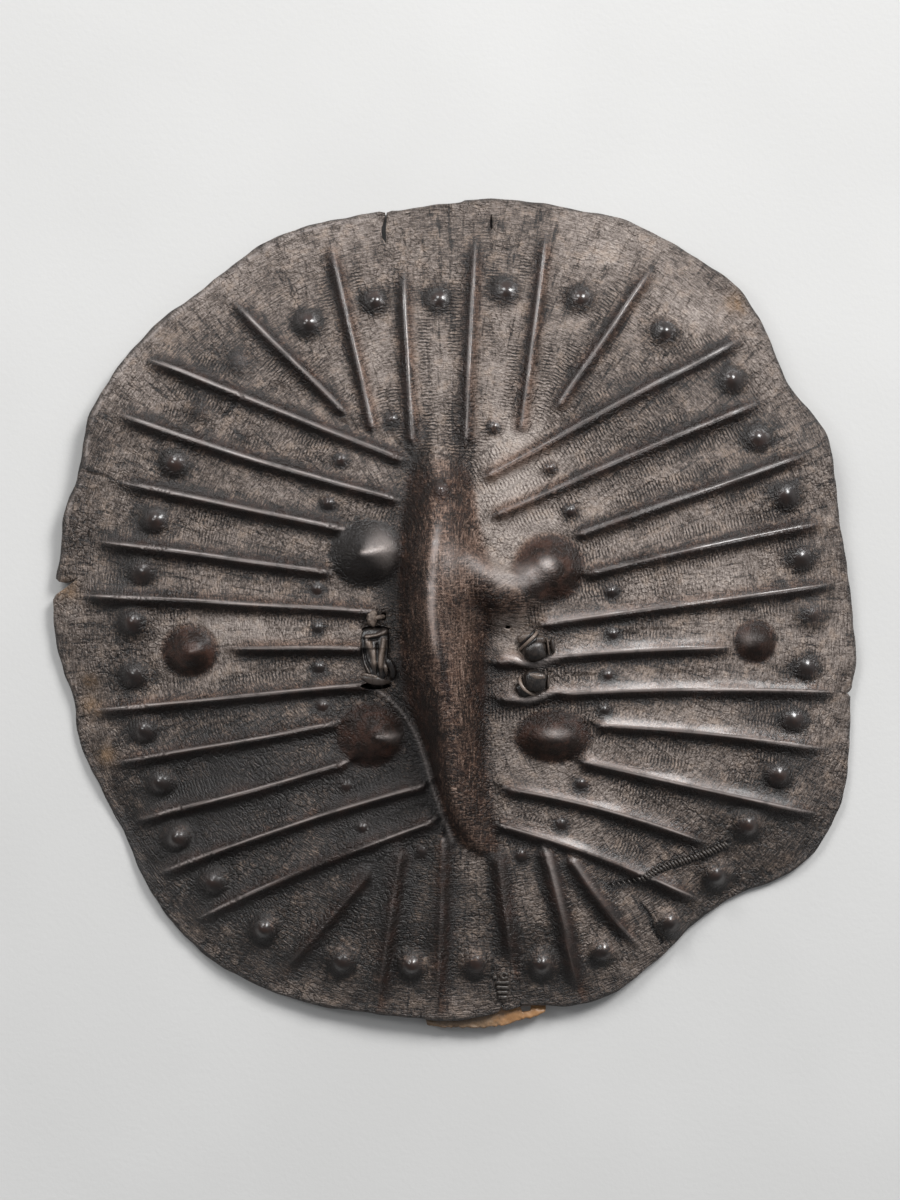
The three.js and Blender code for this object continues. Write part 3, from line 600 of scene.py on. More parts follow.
def cut_relief(x, y):
    """Grooves: the tear, fine cracks and the crease along the keel's foot."""
    tear, _ = distance_to_line(TEAR_LINE, x, y)
    raised = -2.2 * bell(tear, 1.6) + 1.1 * bell(tear, 5)
    for line in CRACK_LINES:
        crack, _ = distance_to_line(line, x, y)
        raised = raised - 1.6 * bell(crack, 1.1)
    for line in FOLD_LINES:
        fold, _ = distance_to_line(line, x, y)
        raised = raised - 1.1 * bell(fold, 1.5) + 0.5 * bell(fold - 3, 2)
    curl = np.abs(np.hypot((x - CURL[0]) / CURL[2], (y - CURL[1]) / CURL[3]) - 1)
    raised = raised - 1.1 * bell(curl, 0.35)
    fold, share = distance_to_line(KEEL_FOLD, x, y)
    beside, _ = distance_to_line(KEEL_FOLD + [3.5, 1.5], x, y)
    return raised + (2 * bell(fold, 2.2) - 1.8 * bell(beside, 2.4)) * smoothstep(5 * (1 - share))


def rim_lip(x, y):
    """The rim's edge curls up a little."""
    inset = rim_reach(bearing_of(x, y)) - np.hypot(x, y)
    return 0.9 * bell(inset - 3, 3)


def front_height(x, y):
    x, y = np.asarray(x, float), np.asarray(y, float)
    shape = body_height(x, y) + small_relief(x, y)
    return shape - RING_DEPTH * tooled_rings(x, y) + wear_relief(x, y) + cut_relief(x, y) + rim_lip(x, y)


def back_height(x, y):
    x, y = np.asarray(x, float), np.asarray(y, float)
    step = 1.5
    slope_x = (body_height(x + step, y) - body_height(x - step, y)) / (2 * step)
    slope_y = (body_height(x, y + step) - body_height(x, y - step)) / (2 * step)
    factor = np.minimum(MAX_SLOPE_FACTOR, np.sqrt(1 + slope_x ** 2 + slope_y ** 2))
    off_the_ground = smoothstep(dish_height(x, y) / 4)
    raised = GROOVE_SHARE * small_relief(x, y) + 0.8 * wear_relief(x, y) * off_the_ground
    return np.maximum(0, body_height(x, y) - HIDE_THICKNESS * factor + raised)


def height_at(x, y):
    return float(front_height(x, y))


# ---- Where the surface's points go, in plan ----
POINT_CELL = 4  # side of the squares that points are looked up in
EDGE_ROUND = 1.5  # the rim's edge is rounded by this much
CRACK_ROUND = 0.35  # and the edges of notches and holes by this much
RIM_CLEAR = 1.2  # the other points stay this far from the rim's


class Scatter:
    """Points in plan, none nearer to an earlier one than the gap it was added with."""

    def __init__(self, fixed):
        self.points = []
        self.cells = {}
        for x, y in fixed:
            self.keep(x, y)

    def keep(self, x, y):
        self.cells.setdefault((int(x // POINT_CELL), int(y // POINT_CELL)), []).append((x, y))
        self.points.append((x, y))

    def crowded(self, x, y, gap):
        column, row = int(x // POINT_CELL), int(y // POINT_CELL)
        for i in (column - 1, column, column + 1):
            for j in (row - 1, row, row + 1):
                for other_x, other_y in self.cells.get((i, j), ()):
                    if (other_x - x) ** 2 + (other_y - y) ** 2 < gap * gap:
                        return True
        return False

    def add(self, points, gap):
        points = np.array(points, float).reshape(-1, 2)
        for x, y in points[on_hide(points[:, 0], points[:, 1])]:
            if not self.crowded(x, y, gap):
                self.keep(x, y)


def on_hide(x, y):
    """True well inside the rim and clear of notches and holes."""
    inside = np.hypot(x, y) < rim_reach(bearing_of(x, y)) - EDGE_ROUND - RIM_CLEAR
    for outline in VOIDS:
        inside &= ~inside_polygon(outline, x, y)
    return inside


def oval(x, y, half_width, half_height):
    count = max(10, int(2 * (half_width + half_height)))
    turn = -np.linspace(0, 2 * np.pi, count, endpoint=False)
    return np.stack([x + half_width * np.cos(turn), y + half_height * np.sin(turn)], axis=1)


RIM_STEP = 0.45  # degrees from one rim point to the next
NOTCH_STEP = 1.8
NOTCH_MARGIN = 0.35  # degrees of rim left out on both sides of a notch


def outline_loop():
    """The rim, anticlockwise, with each notch let into it. Also how far each point's edge is rounded."""
    bearings = np.arange(0, 360, RIM_STEP)
    points = rim_points(bearings, ragged_reach(bearings) - EDGE_ROUND)
    blocked = np.zeros(len(bearings), bool)
    parts = []
    for notch in NOTCHES:
        path = resampled(notch, NOTCH_STEP)
        at = np.mod(bearing_of(path[:, 0], path[:, 1]), 360)
        within = np.hypot(path[:, 0], path[:, 1]) <= ragged_reach(at) - EDGE_ROUND - 0.6
        path, at = path[within], at[within]
        width = np.mod(at[-1] - at[0], 360) + 2 * NOTCH_MARGIN
        blocked |= np.mod(bearings - at[0] + NOTCH_MARGIN, 360) < width
        parts.append((at[0], list(path), CRACK_ROUND))
    parts += [(bearing, [point], EDGE_ROUND) for bearing, point in zip(bearings[~blocked], points[~blocked])]
    parts.sort(key=lambda part: part[0])
    loop = [point for _, path, _ in parts for point in path]
    rounding = [size for _, path, size in parts for _ in path]
    return np.array(loop), np.array(rounding)


VOIDS = [np.array(notch, float) for notch in NOTCHES] + [oval(*hole) for hole in HOLES]


def ring_points(centre, radii, spacing):
    """Points on rings round a centre, and the centre itself."""
    rings = [[centre]]
    for radius in radii:
        count = max(6, int(round(2 * np.pi * radius / spacing)))
        turn = np.linspace(0, 2 * np.pi, count, endpoint=False) + radius
        rings.append(np.array([centre[0] + radius * np.cos(turn), centre[1] + radius * np.sin(turn)]).T)
    return np.vstack(rings)


def rib_rows(offsets, step):
    rows = []
    for rib in RIBS:
        length = rib_frame(rib)[3]
        shares = np.linspace(0, 1, max(3, int(length / step)))
        for share in shares:
            rows.append([rib_point(rib, share, offset) for offset in offsets])
    return np.vstack(rows)


def rib_ends(radii):
    return np.vstack([ring_points(rib[2:4], radii, 2.4) for rib in RIBS])


def keel_rows(step, across):
    rows = []
    for y in np.arange(KEEL[-1, 0] + step, KEEL[0, 0], step):
        left, crest, right, _ = keel_section(y)
        for foot in (left, right):
            shares = np.linspace(0, 1.12, max(4, int(abs(foot - crest) / across)))
            rows += [[crest + (foot - crest) * share, y] for share in shares]
    return rows


def line_rows(line, offsets):
    tangents = unit_rows(np.gradient(line, axis=0))
    sides = np.stack([-tangents[:, 1], tangents[:, 0]], axis=1)
    return np.vstack([line + sides * offset for offset in offsets])


def fill_net(spacing, seed):
    """A slightly uneven net of points over the whole hide."""
    reach = 390
    row_step = spacing * math.sin(math.radians(60))
    rows = int(reach / row_step)
    columns = int(reach / spacing)
    row, column = np.mgrid[-rows:rows + 1, -columns:columns + 1]
    shake = np.random.default_rng(seed).uniform(-0.16, 0.16, (2,) + row.shape) * spacing
    x = spacing * (column + 0.5 * (row % 2)) + shake[0]
    y = row_step * row + shake[1]
    return np.stack([x.ravel(), y.ravel()], axis=1)


def near_rim_rows(insets, step):
    bearings = np.arange(0, 360, step)
    return np.vstack([rim_points(bearings, rim_reach(bearings) - EDGE_ROUND - inset) for inset in insets])


def both_sides(*offsets):
    """0, and each offset to the right and to the left."""
    return [0, *(sign * offset for offset in offsets for sign in (-1, 1))]


def front_points(loops):
    """The front's points: close together on lines, crests and bosses, and a plain net between them."""
    scatter = Scatter(np.vstack(loops))
    for line in [TEAR_LINE, KEEL_FOLD, *CRACK_LINES, *FOLD_LINES]:
        scatter.add(line_rows(line, both_sides(1, 2.2, 4)), gap=0.75)
    scatter.add(near_rim_rows((1.5, 3, 4.6, 6.5), step=0.45), gap=1.1)
    for index, centre in enumerate(BOSSES):
        scatter.add(ring_points(centre, np.arange(1.6, 16, 1.6), spacing=2), gap=1.1)
        if index in RINGED_BOSSES:
            scatter.add(ring_points(centre, np.arange(16, RING_TO, 0.8), spacing=3), gap=0.75)
    for centre in BEADS:
        scatter.add(ring_points(centre, np.arange(1.3, 9.5, 1.3), spacing=1.6), gap=1)
    for x, y, *radii, _, _ in LARGE_BOSSES:
        rings = ring_points((0, 0), np.arange(0.05, 1.35, 0.06), spacing=0.075)
        scatter.add(rings * radii + [x, y], gap=1.2)
    scatter.add(rib_rows([*both_sides(1.3, 2.7, 4.2, 6, 8.2, 11), 14.5], step=3.2), gap=1.1)
    scatter.add(rib_ends((1.5, 3, 4.5, 6.5)), gap=1.1)
    scatter.add(keel_rows(step=2.7, across=1.7), gap=1.2)
    scatter.add(fill_net(spacing=2.75, seed=11), gap=1.8)
    return np.array(scatter.points)


def back_points(loops):
    """The back's points, which can lie further apart."""
    scatter = Scatter(np.vstack(loops))
    scatter.add(near_rim_rows((2, 5), step=1), gap=1.5)
    scatter.add(ring_points(SHARP_CREASE[:2], np.arange(1, SHARP_CREASE[2], 2), spacing=2), gap=1.1)
    for centre in BOSSES:
        scatter.add(ring_points(centre, (3, 6, 9, 12, 15), spacing=4), gap=2)
    for x, y, *radii, _, _ in LARGE_BOSSES:
        rings = ring_points((0, 0), np.arange(0.1, 1.3, 0.12), spacing=0.15)
        scatter.add(rings * radii + [x, y], gap=2)
    scatter.add(keel_rows(step=4.5, across=2.6), gap=2)
    scatter.add(rib_rows(both_sides(2.6, 6), step=6), gap=2)
    scatter.add(fill_net(spacing=6, seed=12), gap=3.6)
    return np.array(scatter.points)


# ---- Meshes ----
def place(points):
    """From the shield's own millimetres to the frame's metres."""
    return (np.asarray(points, float) + [SHIFT[0], SHIFT[1], 0]) * MM


def frame_shift():
    """The CAD hide's box says where the shield's own origin lies in the frame."""
    low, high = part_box("hide_body")
    bearings = np.arange(CAD_RIM_STEPS) * 360 / CAD_RIM_STEPS
    rim = rim_points(bearings, rim_reach(bearings))
    return (np.array([low[0] + high[0], low[1] + high[1]]) / MM - rim.min(0) - rim.max(0)) / 2


SHIFT = frame_shift()


def triangles_in_plan(points, loops):
    """Delaunay triangles that keep every loop's edges, inside the first loop and outside the others."""
    edges = []
    start = 0
    for loop in loops:
        count = len(loop)
        edges += [(start + i, start + (i + 1) % count) for i in range(count)]
        start += count
    fixed = start
    result = geometry.delaunay_2d_cdt([Vector(point) for point in points], edges, [], 0, 1e-6)
    if len(result[0]) != len(points):
        raise ValueError("two points of the hide coincide or two of its edges cross")
    triangles = np.array(result[2])
    doubtful = (triangles < fixed).all(axis=1)
    centres = points[triangles].mean(axis=1)
    keep = ~doubtful
    x, y = centres[doubtful].T
    inside = inside_polygon(loops[0], x, y)
    for loop in loops[1:]:
        inside &= ~inside_polygon(loop, x, y)
    keep[doubtful] = inside
    return triangles[keep]


def outward(loop):
    tangent = np.roll(loop, -1, axis=0) - np.roll(loop, 1, axis=0)
    return unit_rows(np.stack([tangent[:, 1], -tangent[:, 0]], axis=1))


def wall(upper, lower):
    """Triangles between two closed rows of vertex numbers, one above the other."""
    next_upper, next_lower = np.roll(upper, -1), np.roll(lower, -1)
    return [np.column_stack([lower, next_lower, next_upper]), np.column_stack([lower, next_upper, upper])]


EDGE_ROWS = 3  # rows of points between the front's edge and the back's
THINNEST = 1.6


def hide_surface():
    """Vertices and triangles of the whole hide: front, back, and rounded edges between them."""
    rim, rounding = outline_loop()
    loops = [rim] + [oval(*hole) for hole in HOLES]
    roundings = [rounding] + [np.full(len(loop), CRACK_ROUND) for loop in loops[1:]]
    front, back = front_points(loops), back_points(loops)
    top = np.column_stack([front, front_height(front[:, 0], front[:, 1])])
    under = np.column_stack([back, back_height(back[:, 0], back[:, 1])])
    ceiling = front_height(back[:, 0], back[:, 1]) - THINNEST
    under[:, 2] = np.maximum(0, np.minimum(under[:, 2], ceiling))
    vertices = [top, under]
    faces = [triangles_in_plan(front, loops), triangles_in_plan(back, loops)[:, ::-1] + len(top)]
    start = 0
    total = len(top) + len(under)
    for loop, size in zip(loops, roundings):
        count = len(loop)
        upper, lower = top[start:start + count, 2], under[start:start + count, 2]
        middle, half = (upper + lower) / 2, (upper - lower) / 2
        rows = [start + np.arange(count)]
        for row in range(1, EDGE_ROWS + 1):
            turn = np.pi * row / (EDGE_ROWS + 1)
            spread = loop + outward(loop) * size[:, None] * math.sin(turn)
            vertices.append(np.column_stack([spread, middle + half * math.cos(turn)]))
            rows.append(total + np.arange(count))
            total += count
        rows.append(len(top) + start + np.arange(count))
        for upper_row, lower_row in zip(rows, rows[1:]):
            faces += wall(upper_row, lower_row)
        start += count
    is_back = np.full(total, 0.5)
    is_back[:len(top)] = 0
    is_back[len(top):len(top) + len(under)] = 1
    return np.vstack(vertices), np.vstack(faces), is_back


# ---- What each point of the hide shows: wear, dirt and tooling, kept as vertex attributes ----
HATCH_STRIPS = [*range(0, 15), *range(20, 34)]  # strips between ribs, tooled with short ticks

RibPlace = namedtuple("RibPlace", "index distance second along across")


def nearest_rib(x, y):
    """The nearest rib, the distances off it, off the second nearest, along it and across it."""
    index = np.zeros(len(x), int)
    distance = np.full(len(x), 1e9)
    second, along, across = distance.copy(), np.zeros(len(x)), np.zeros(len(x))
    for i, rib in enumerate(RIBS):
        reach, off, sideways = rib_coordinates(rib, x, y)
        nearer = off < distance
        second = np.where(nearer, distance, np.minimum(second, off))
        distance = np.where(nearer, off, distance)
        along = np.where(nearer, reach, along)
        across = np.where(nearer, sideways, across)
        index = np.where(nearer, i, index)
    return RibPlace(index, distance, second, along, across)


def right_side(rib):
    """How much a point lies on the right-hand side of an upright rib, which the light reaches."""
    frames = [rib_frame(row) for row in RIBS]
    upright = np.array([along[1] ** 2 for _, along, _, _ in frames])
    side_x = np.array([side[0] for _, _, side, _ in frames])
    return upright[rib.index] * (rib.across * side_x[rib.index] > 0)


def hatch_mask(x, y, rib):
    """Ticks are tooled in the middle of a strip, in patches, and clear of its outer end."""
    in_strip = np.isin(rib.index, HATCH_STRIPS).astype(float)
    across = smoothstep((rib.distance - 8) / 4) * smoothstep((23 - rib.distance) / 5)
    across = across * smoothstep((rib.second - rib.distance) / 2)
    ends = smoothstep((rib.along - 18) / 25)
    patches = smoothstep(0.2 + 1.1 * value_noise(x, y, 30, 21) + 0.45 * smoothstep((x + y) / 250))
    return in_strip * across * ends * patches


def boss_share(x, y):
    """The dark halo of the nearest boss or bead, partly painted shade set off to one side, lower down for the
    lower ones, and its polished core.
    """
    halo_and_shade, core = np.zeros(len(x)), np.zeros(len(x))
    for index, (centre_x, centre_y) in enumerate(BOSSES):
        strength = FAINT_BOSSES.get(index, 1)
        low = lowness(centre_y)
        # The halo is set 1.5 mm left of the boss and up to 6 mm below the lower ones: painted shade on the
        # side away from the light.
        off_halo = np.hypot((x - centre_x + 1.5) / 1.12, y - centre_y + 6 * low)
        off_core = np.hypot(x - centre_x, y - centre_y)
        shade = bell(np.maximum(off_halo - 3, 0), 9.5 - 3 * low)
        halo_and_shade = np.maximum(halo_and_shade, strength * (1 - 0.25 * low) * shade)
        core = np.maximum(core, strength * bell(np.maximum(off_core - 2, 0), 7))
    for centre_x, centre_y in BEADS:
        # A bead's halo is set 1.5 mm below it: painted shade.
        halo_and_shade = np.maximum(halo_and_shade, bell(np.maximum(np.hypot(x - centre_x, y - centre_y + 1.5) - 2, 0), 6))
        core = np.maximum(core, bell(np.hypot(x - centre_x, y - centre_y), 5.5))
    return halo_and_shade, core


def painted_highlight_faces(x, y):
    """Painted highlights on the lit faces of the large bosses, widening away from their tips, and painted
    highlight spots.
    """
    painted_highlight = np.zeros(len(x))
    for tip_x, tip_y, bearing, spread, reach, strength in PAINTED_HIGHLIGHT_WEDGES:
        away = np.hypot(x - tip_x, y - tip_y)
        turned = np.abs(np.mod(bearing_of(x - tip_x, y - tip_y) - bearing + 180, 360) - 180)
        spoke = 0.6 * bell(turned, spread) + 0.4 * bell(turned, spread / 4)
        painted_highlight = np.maximum(painted_highlight, strength * spoke * smoothstep((reach - away) / 14) * smoothstep(away / 3))
    for *place_and_size, strength in PAINTED_HIGHLIGHT_SPOTS:
        painted_highlight = np.maximum(painted_highlight, strength * bell(oval_reach(x, y, *place_and_size), 1))
    return painted_highlight


def large_boss_share(x, y):
    share = np.zeros(len(x))
    for boss in LARGE_BOSSES:
        share = np.maximum(share, smoothstep((1.15 - oval_reach(x, y, *boss[:4])) / 0.4))
    return share


def keel_share(x, y):
    """1 on the keel, 0 just past its feet."""
    left, crest, right, _ = keel_section(y)
    side = np.where(x < crest, (crest - x) / (crest - left), (x - crest) / (right - crest))
    ends = smoothstep((KEEL[0, 0] - 12 - y) / 40) * smoothstep((y - KEEL[-1, 0]) / 12)
    return ends * smoothstep((1.12 - side) / 0.3)


# Where dust has settled or wear has bared the dark skin, and where light and shade are painted,
# as [x, y, radius along x, radius along y, paleness added].
TONES = [
    # Paler in the hollow right of the keel's top: dust and painted light where it faces the light.
    [48, 112, 48, 56, 0.8],
    [70, 195, 90, 60, 0.12],
    [-160, -10, 80, 26, 0.5],
    [-280, 150, 60, 50, -0.15],
    [-20, 312, 90, 42, -0.2],
    [2, 42, 30, 26, 0.2],
    [220, 180, 150, 110, -0.28],
    [175, 0, 130, 45, 0.08],
    [205, 258, 34, 24, 0.42],
    # Darker over the keel's left flank: painted shade.
    [-42, 70, 16, 100, -0.25],
    [6, 132, 17, 46, -0.8],
    [-30, 120, 14, 36, -0.2],
    [160, -110, 110, 60, 0.1],
    [200, 40, 110, 50, 0.08],
    # Darker left of the keel's lower half: dirt and painted shade.
    [-50, -150, 50, 120, -0.42],
    [-170, -130, 90, 60, -0.26],
    [-200, -240, 140, 90, -0.34],
    [0, -300, 170, 70, -0.16],
    [290, -210, 100, 80, -0.38],
    [-170, 240, 90, 60, -0.16],
    [-300, 0, 60, 120, -0.1],
    [3, -50, 9, 60, 0.3],
    [24, -80, 8, 62, -0.4],
    [50, -60, 14, 60, 0.2],
    [-30, 20, 18, 90, 0.1],
]


def paleness(x, y):
    """How pale the flats are: most at the upper right, least at the lower left and beside the keel, partly
    dust and partly painted light and shade.
    """
    # Paler towards the upper right, where the light comes from: partly dust and partly painted light.
    tone = 0.53 + 0.15 * (0.5 * x + 0.85 * y) / 350
    for *place_and_size, added in TONES:
        tone = tone + added * bell(oval_reach(x, y, *place_and_size), 1)
    return tone + 0.13 * value_noise(x, y, 70, 31) + 0.1 * value_noise(x, y, 26, 32)


def rib_layer(x, y, rib):
    """Crests are polished and carry a painted highlight, the corners beside them are dirty with painted shade
    on their lower side, and the ramps of the lower right are polished and carry a painted highlight.
    """
    fade = smoothstep(rib.along / RIB_FADE)
    ramp = ramp_share(y)
    above = rib.across > 0
    right = right_side(rib)
    bottom = smoothstep((-185 - y) / 25) * smoothstep((170 - np.abs(x)) / 40)
    lower_right = smoothstep((x - 20) / 60) * smoothstep((40 - y) / 60)
    # Dark bands beside each rib: dirt on its upper side, dirt and painted shade on its lower side, both
    # lessened on the right of upright ribs, where the light falls, except at the bottom.
    upper_corner = bell(rib.distance, 8) * (1 - 0.75 * ramp)
    lower_dirt_and_shade = bell(np.maximum(rib.distance - 1, 0), 7.5 + 2 * ramp)
    corner = np.where(above, upper_corner, lower_dirt_and_shade) * (1 - 0.7 * right * (1 - bottom))
    valley = bottom * right * bell(np.maximum(rib.distance - 2.5, 0), 7)
    line, top = bell(rib.distance, 3), bell(rib.distance, 2)
    band = (0.6 + 0.3 * lower_right) * bell(rib.distance - 3, 3 + 9 * ramp)
    on_ramp = np.where(above, np.maximum(line, band), line)
    sharp = 0.4 + 0.6 * np.maximum(smoothstep((60 - x - 0.6 * y) / 160), lower_right)
    # A thin painted highlight along each crest, strong at the left and lower right and faint at the upper
    # right and the bottom, and a broader painted highlight on the ramps of the lower right.
    painted_highlight = 0.8 * bell(rib.across - 0.3, 0.8) * (rib.distance < 8) * sharp * (1 - 0.9 * bottom)
    lit = 0.45 * lower_right * above * bell(rib.distance - 1.5, 2.8) * smoothstep((rib.along - 30) / 120)
    return {
        "dirt_and_painted_shade": fade * np.maximum(corner, valley),
        "polish": 0.85 * fade * on_ramp,
        "crest": fade * np.maximum(painted_highlight, lit),
        "smooth": fade * np.maximum((0.85 - 0.5 * bottom) * top, 0.7 * lower_right * on_ramp),
        "reddish": 0.45 * np.maximum(valley, fade * bell(rib.distance, 7)),
    }


def boss_layer(x, y, at_x, at_y):
    """Bosses are polished, dark round their feet with dirt and painted shade, and reddish, apart from the
    large one at the upper left; the large ones carry painted highlights.
    """
    halo_and_shade, core = boss_share(at_x, at_y)
    large, painted_highlight = large_boss_share(x, y), painted_highlight_faces(x, y)
    far_left = x < -150
    red = (x > 0) | far_left | (y < -60)
    return {
        # The large bosses are darkened all over, partly as painted shade, except where their painted
        # highlights lie.
        "dirt_and_painted_shade": np.max([halo_and_shade, 0.95 * large * (1 - 0.9 * painted_highlight), 0.4 * tooled_rings(at_x, at_y)], axis=0),
        "polish": np.maximum(core, 0.6 * large),
        "crest": 0.85 * painted_highlight,
        "smooth": np.maximum(core, (0.4 + 0.15 * far_left) * large),
        "reddish": np.maximum(0.4 * core, 0.75 * large * red * (1 - painted_highlight)),
    }


def keel_layer(x, y):
    """The keel is brown and streaked, with a polished crest that carries a painted highlight, a dark seam,
    and its left flank darkened as painted shade.
    """
    keel = keel_share(x, y)
    left, crest, _, _ = keel_section(y)
    ridge = bell(x - crest, 3) * smoothstep((82 - y) / 25) * smoothstep((y + 45) / 40)
    seam = bell(x - crest - 3.5, 2) * smoothstep((2 - y) / 20) * smoothstep((y + 92) / 25)
    seam = np.maximum(seam, bell(x - crest + 1, 1.6) * bell(y - 66, 11))
    # Painted shade over the keel's left flank, which faces away from the light.
    left_flank_shade = bell(np.maximum(left - 4 - x, 0), 13) * smoothstep((crest - 3 - x) / 7)
    left_flank_shade = left_flank_shade * smoothstep((KEEL[0, 0] + 40 - y) / 40) * smoothstep((y - KEEL[-1, 0]) / 30)
    right_flank = keel * smoothstep((x - crest) / 14)
    return {
        "dirt_and_painted_shade": np.max([0.2 * right_flank, 0.3 * left_flank_shade, 0.75 * seam], axis=0),
        "polish": np.maximum(ridge, 0.12 * keel),
        # The crest's pale streak is a painted highlight.
        "crest": 0.55 * ridge * (0.8 + 0.4 * value_noise(y, x, 13, 94)),
        "smooth": ridge,
        "reddish": 0.45 * keel,
        "streaks": keel,
    }


def arm_layer(x, y):
    """The arm has a painted highlight along its crest, and below it a dark, reddish, streaked patch that is
    partly painted shade.
    """
    below = bell(oval_reach(x, y, 26, 9, 36, 11), 1)
    off_crest, _ = distance_to_line(ARM_CREST, x, y)
    return {"dirt_and_painted_shade": 0.5 * below, "crest": 0.5 * bell(off_crest, 5), "reddish": 0.8 * below, "streaks": below}


def fold_layer(x, y):
    """Dirt lies in the tear and the cracks; the fold along the keel and the folds under the knots carry
    painted highlights.
    """
    tear, _ = distance_to_line(TEAR_LINE, x, y)
    cracks = np.min([distance_to_line(line, x, y)[0] for line in CRACK_LINES], axis=0)
    fold, _ = distance_to_line(KEEL_FOLD, x, y)
    cradle = cradle_share(x, y)
    return {
        "dirt_and_painted_shade": np.maximum(bell(tear, 3.5), bell(cracks, 1.5)),
        "crest": np.maximum(0.3 * bell(fold, 1.6), 0.45 * cradle),
        "smooth": 0.7 * cradle,
    }


def rim_layer(x, y):
    """The rim has a dark edge, partly painted shade, a painted highlight on the lip beside it at the upper
    left, and a few ochre stains.
    """
    bearing = bearing_of(x, y)
    inset = rim_reach(bearing) - np.hypot(x, y)
    upper_left = smoothstep((bearing - 95) / 15) * smoothstep((175 - bearing) / 15)
    stains = [bell(np.hypot(x - stain_x, y - stain_y), radius) for stain_x, stain_y, radius in RIM_STAINS]
    return {
        "rim_edge_dark_and_shade": bell(np.maximum(inset, 0), 3.2),
        "rim_lip_highlight": bell(inset - 4.6, 1.3) * upper_left,
        "stain": np.max(stains, axis=0),
    }


def hide_attributes(vertices, is_back):
    """Every attribute at every point: the strongest of what the layers say about it."""
    x, y = vertices[:, 0], vertices[:, 1]
    at_x, at_y = unbent(x, y)
    rib = nearest_rib(at_x, at_y)
    attributes = {
        "paleness": paleness(x, y),
        "hatch_at": rib.along,
        "hatch": hatch_mask(x, y, rib) * (is_back < 1),
        "back": is_back,
    }
    layers = [
        rib_layer(x, y, rib), boss_layer(x, y, at_x, at_y), keel_layer(x, y),
        arm_layer(x, y), fold_layer(x, y), rim_layer(x, y),
    ]
    for layer in layers:
        for name, values in layer.items():
            attributes[name] = np.maximum(attributes.get(name, 0), values)
    return attributes


# ---- Closed shells for the small pieces ----
class Shell:
    """Collects closed bodies, each made of rings of points with its ends capped."""

    def __init__(self):
        self.vertices = []
        self.faces = []
        self.tones = []

    def add_rings(self, rings, tone=0.5):
        rings = np.array(rings, float)
        self.tones += np.broadcast_to(tone, rings.shape[:2]).ravel().tolist()
        count, sides = rings.shape[:2]
        base = len(self.vertices)
        self.vertices += [tuple(point) for ring in rings for point in ring]
        for i in range(count - 1):
            for j in range(sides):
                k = (j + 1) % sides
                low, high = base + i * sides, base + (i + 1) * sides
                self.faces.append((low + j, low + k, high + k, high + j))
        self.add_cap(rings[0], base, reverse=True)
        self.add_cap(rings[-1], base + (count - 1) * sides, reverse=False)

    def add_cap(self, ring, first, reverse):
        middle = len(self.vertices)
        self.vertices.append(tuple(ring.mean(0)))
        self.tones.append(0.3)
        sides = len(ring)
        for j in range(sides):
            a, b = first + j, first + (j + 1) % sides
            self.faces.append((b, a, middle) if reverse else (a, b, middle))


def frames_along(path, normal):
    """Side and normal at each point of a path, carried along without twisting."""
    sides, normals = [], []
    for tangent in unit_rows(np.gradient(path, axis=0)):
        normal = normal - tangent * (normal @ tangent)
        normal = normal / np.linalg.norm(normal)
        sides.append(np.cross(tangent, normal))
        normals.append(normal)
    return np.array(sides), np.array(normals)


def sweep(
    shell, path, half_width, half_height,
    normal=(0, 0, 1), sides=12, taper=0.0, step=1.5, rough=0.0, tone=0.5,
):
    """An oval strip or cord along a path. Taper is the share of its length over which each end narrows."""
    path = curve_through(path, step)
    side, up = frames_along(path, np.array(normal, float))
    count = len(path)
    turn = np.linspace(0, 2 * np.pi, sides, endpoint=False)
    rings = []
    for i, point in enumerate(path):
        share = i / (count - 1)
        size = 1 if taper == 0 else 0.25 + 0.75 * float(smoothstep(min(share, 1 - share) / taper))
        if rough:
            size *= 1 + rough * float(value_noise(share * count * 0.35, len(shell.vertices) * 0.01, 1, 41))
        across = size * half_width * np.cos(turn)
        rise = size * half_height * np.sin(turn)
        rings.append(point + across[:, None] * side[i] + rise[:, None] * up[i])
    shell.add_rings(rings, tone)


def blob(shell, centre, radii, lean=0.0, square=1.0, lumps=0.0, seed=51, rings=18, sides=28, tone=0.5):
    """A rounded lump. Square under 1 flattens its sides; lumps roughen it."""
    made = []
    for i in range(rings + 1):
        rise = math.pi * (0.02 + 0.96 * i / rings)
        flat = abs(math.sin(rise)) ** square
        turn = np.linspace(0, 2 * np.pi, sides, endpoint=False)
        ring = np.stack([
            -np.cos(rise) * np.ones(sides),
            flat * np.sign(np.cos(turn)) * np.abs(np.cos(turn)) ** square,
            flat * np.sign(np.sin(turn)) * np.abs(np.sin(turn)) ** square,
        ], axis=1)
        grain = lumps * value_noise(ring[:, 0] * 3 + ring[:, 2] * 2, ring[:, 1] * 3 - ring[:, 2], 1, seed)
        made.append(ring * (1 + grain)[:, None] * radii)
    made = np.array(made)
    x, y, z = made[..., 0], made[..., 1], made[..., 2]
    c, s = math.cos(lean), math.sin(lean)
    turned = np.stack([x * c - y * s, x * s + y * c, z], axis=-1)
    shell.add_rings(turned + centre, tone)


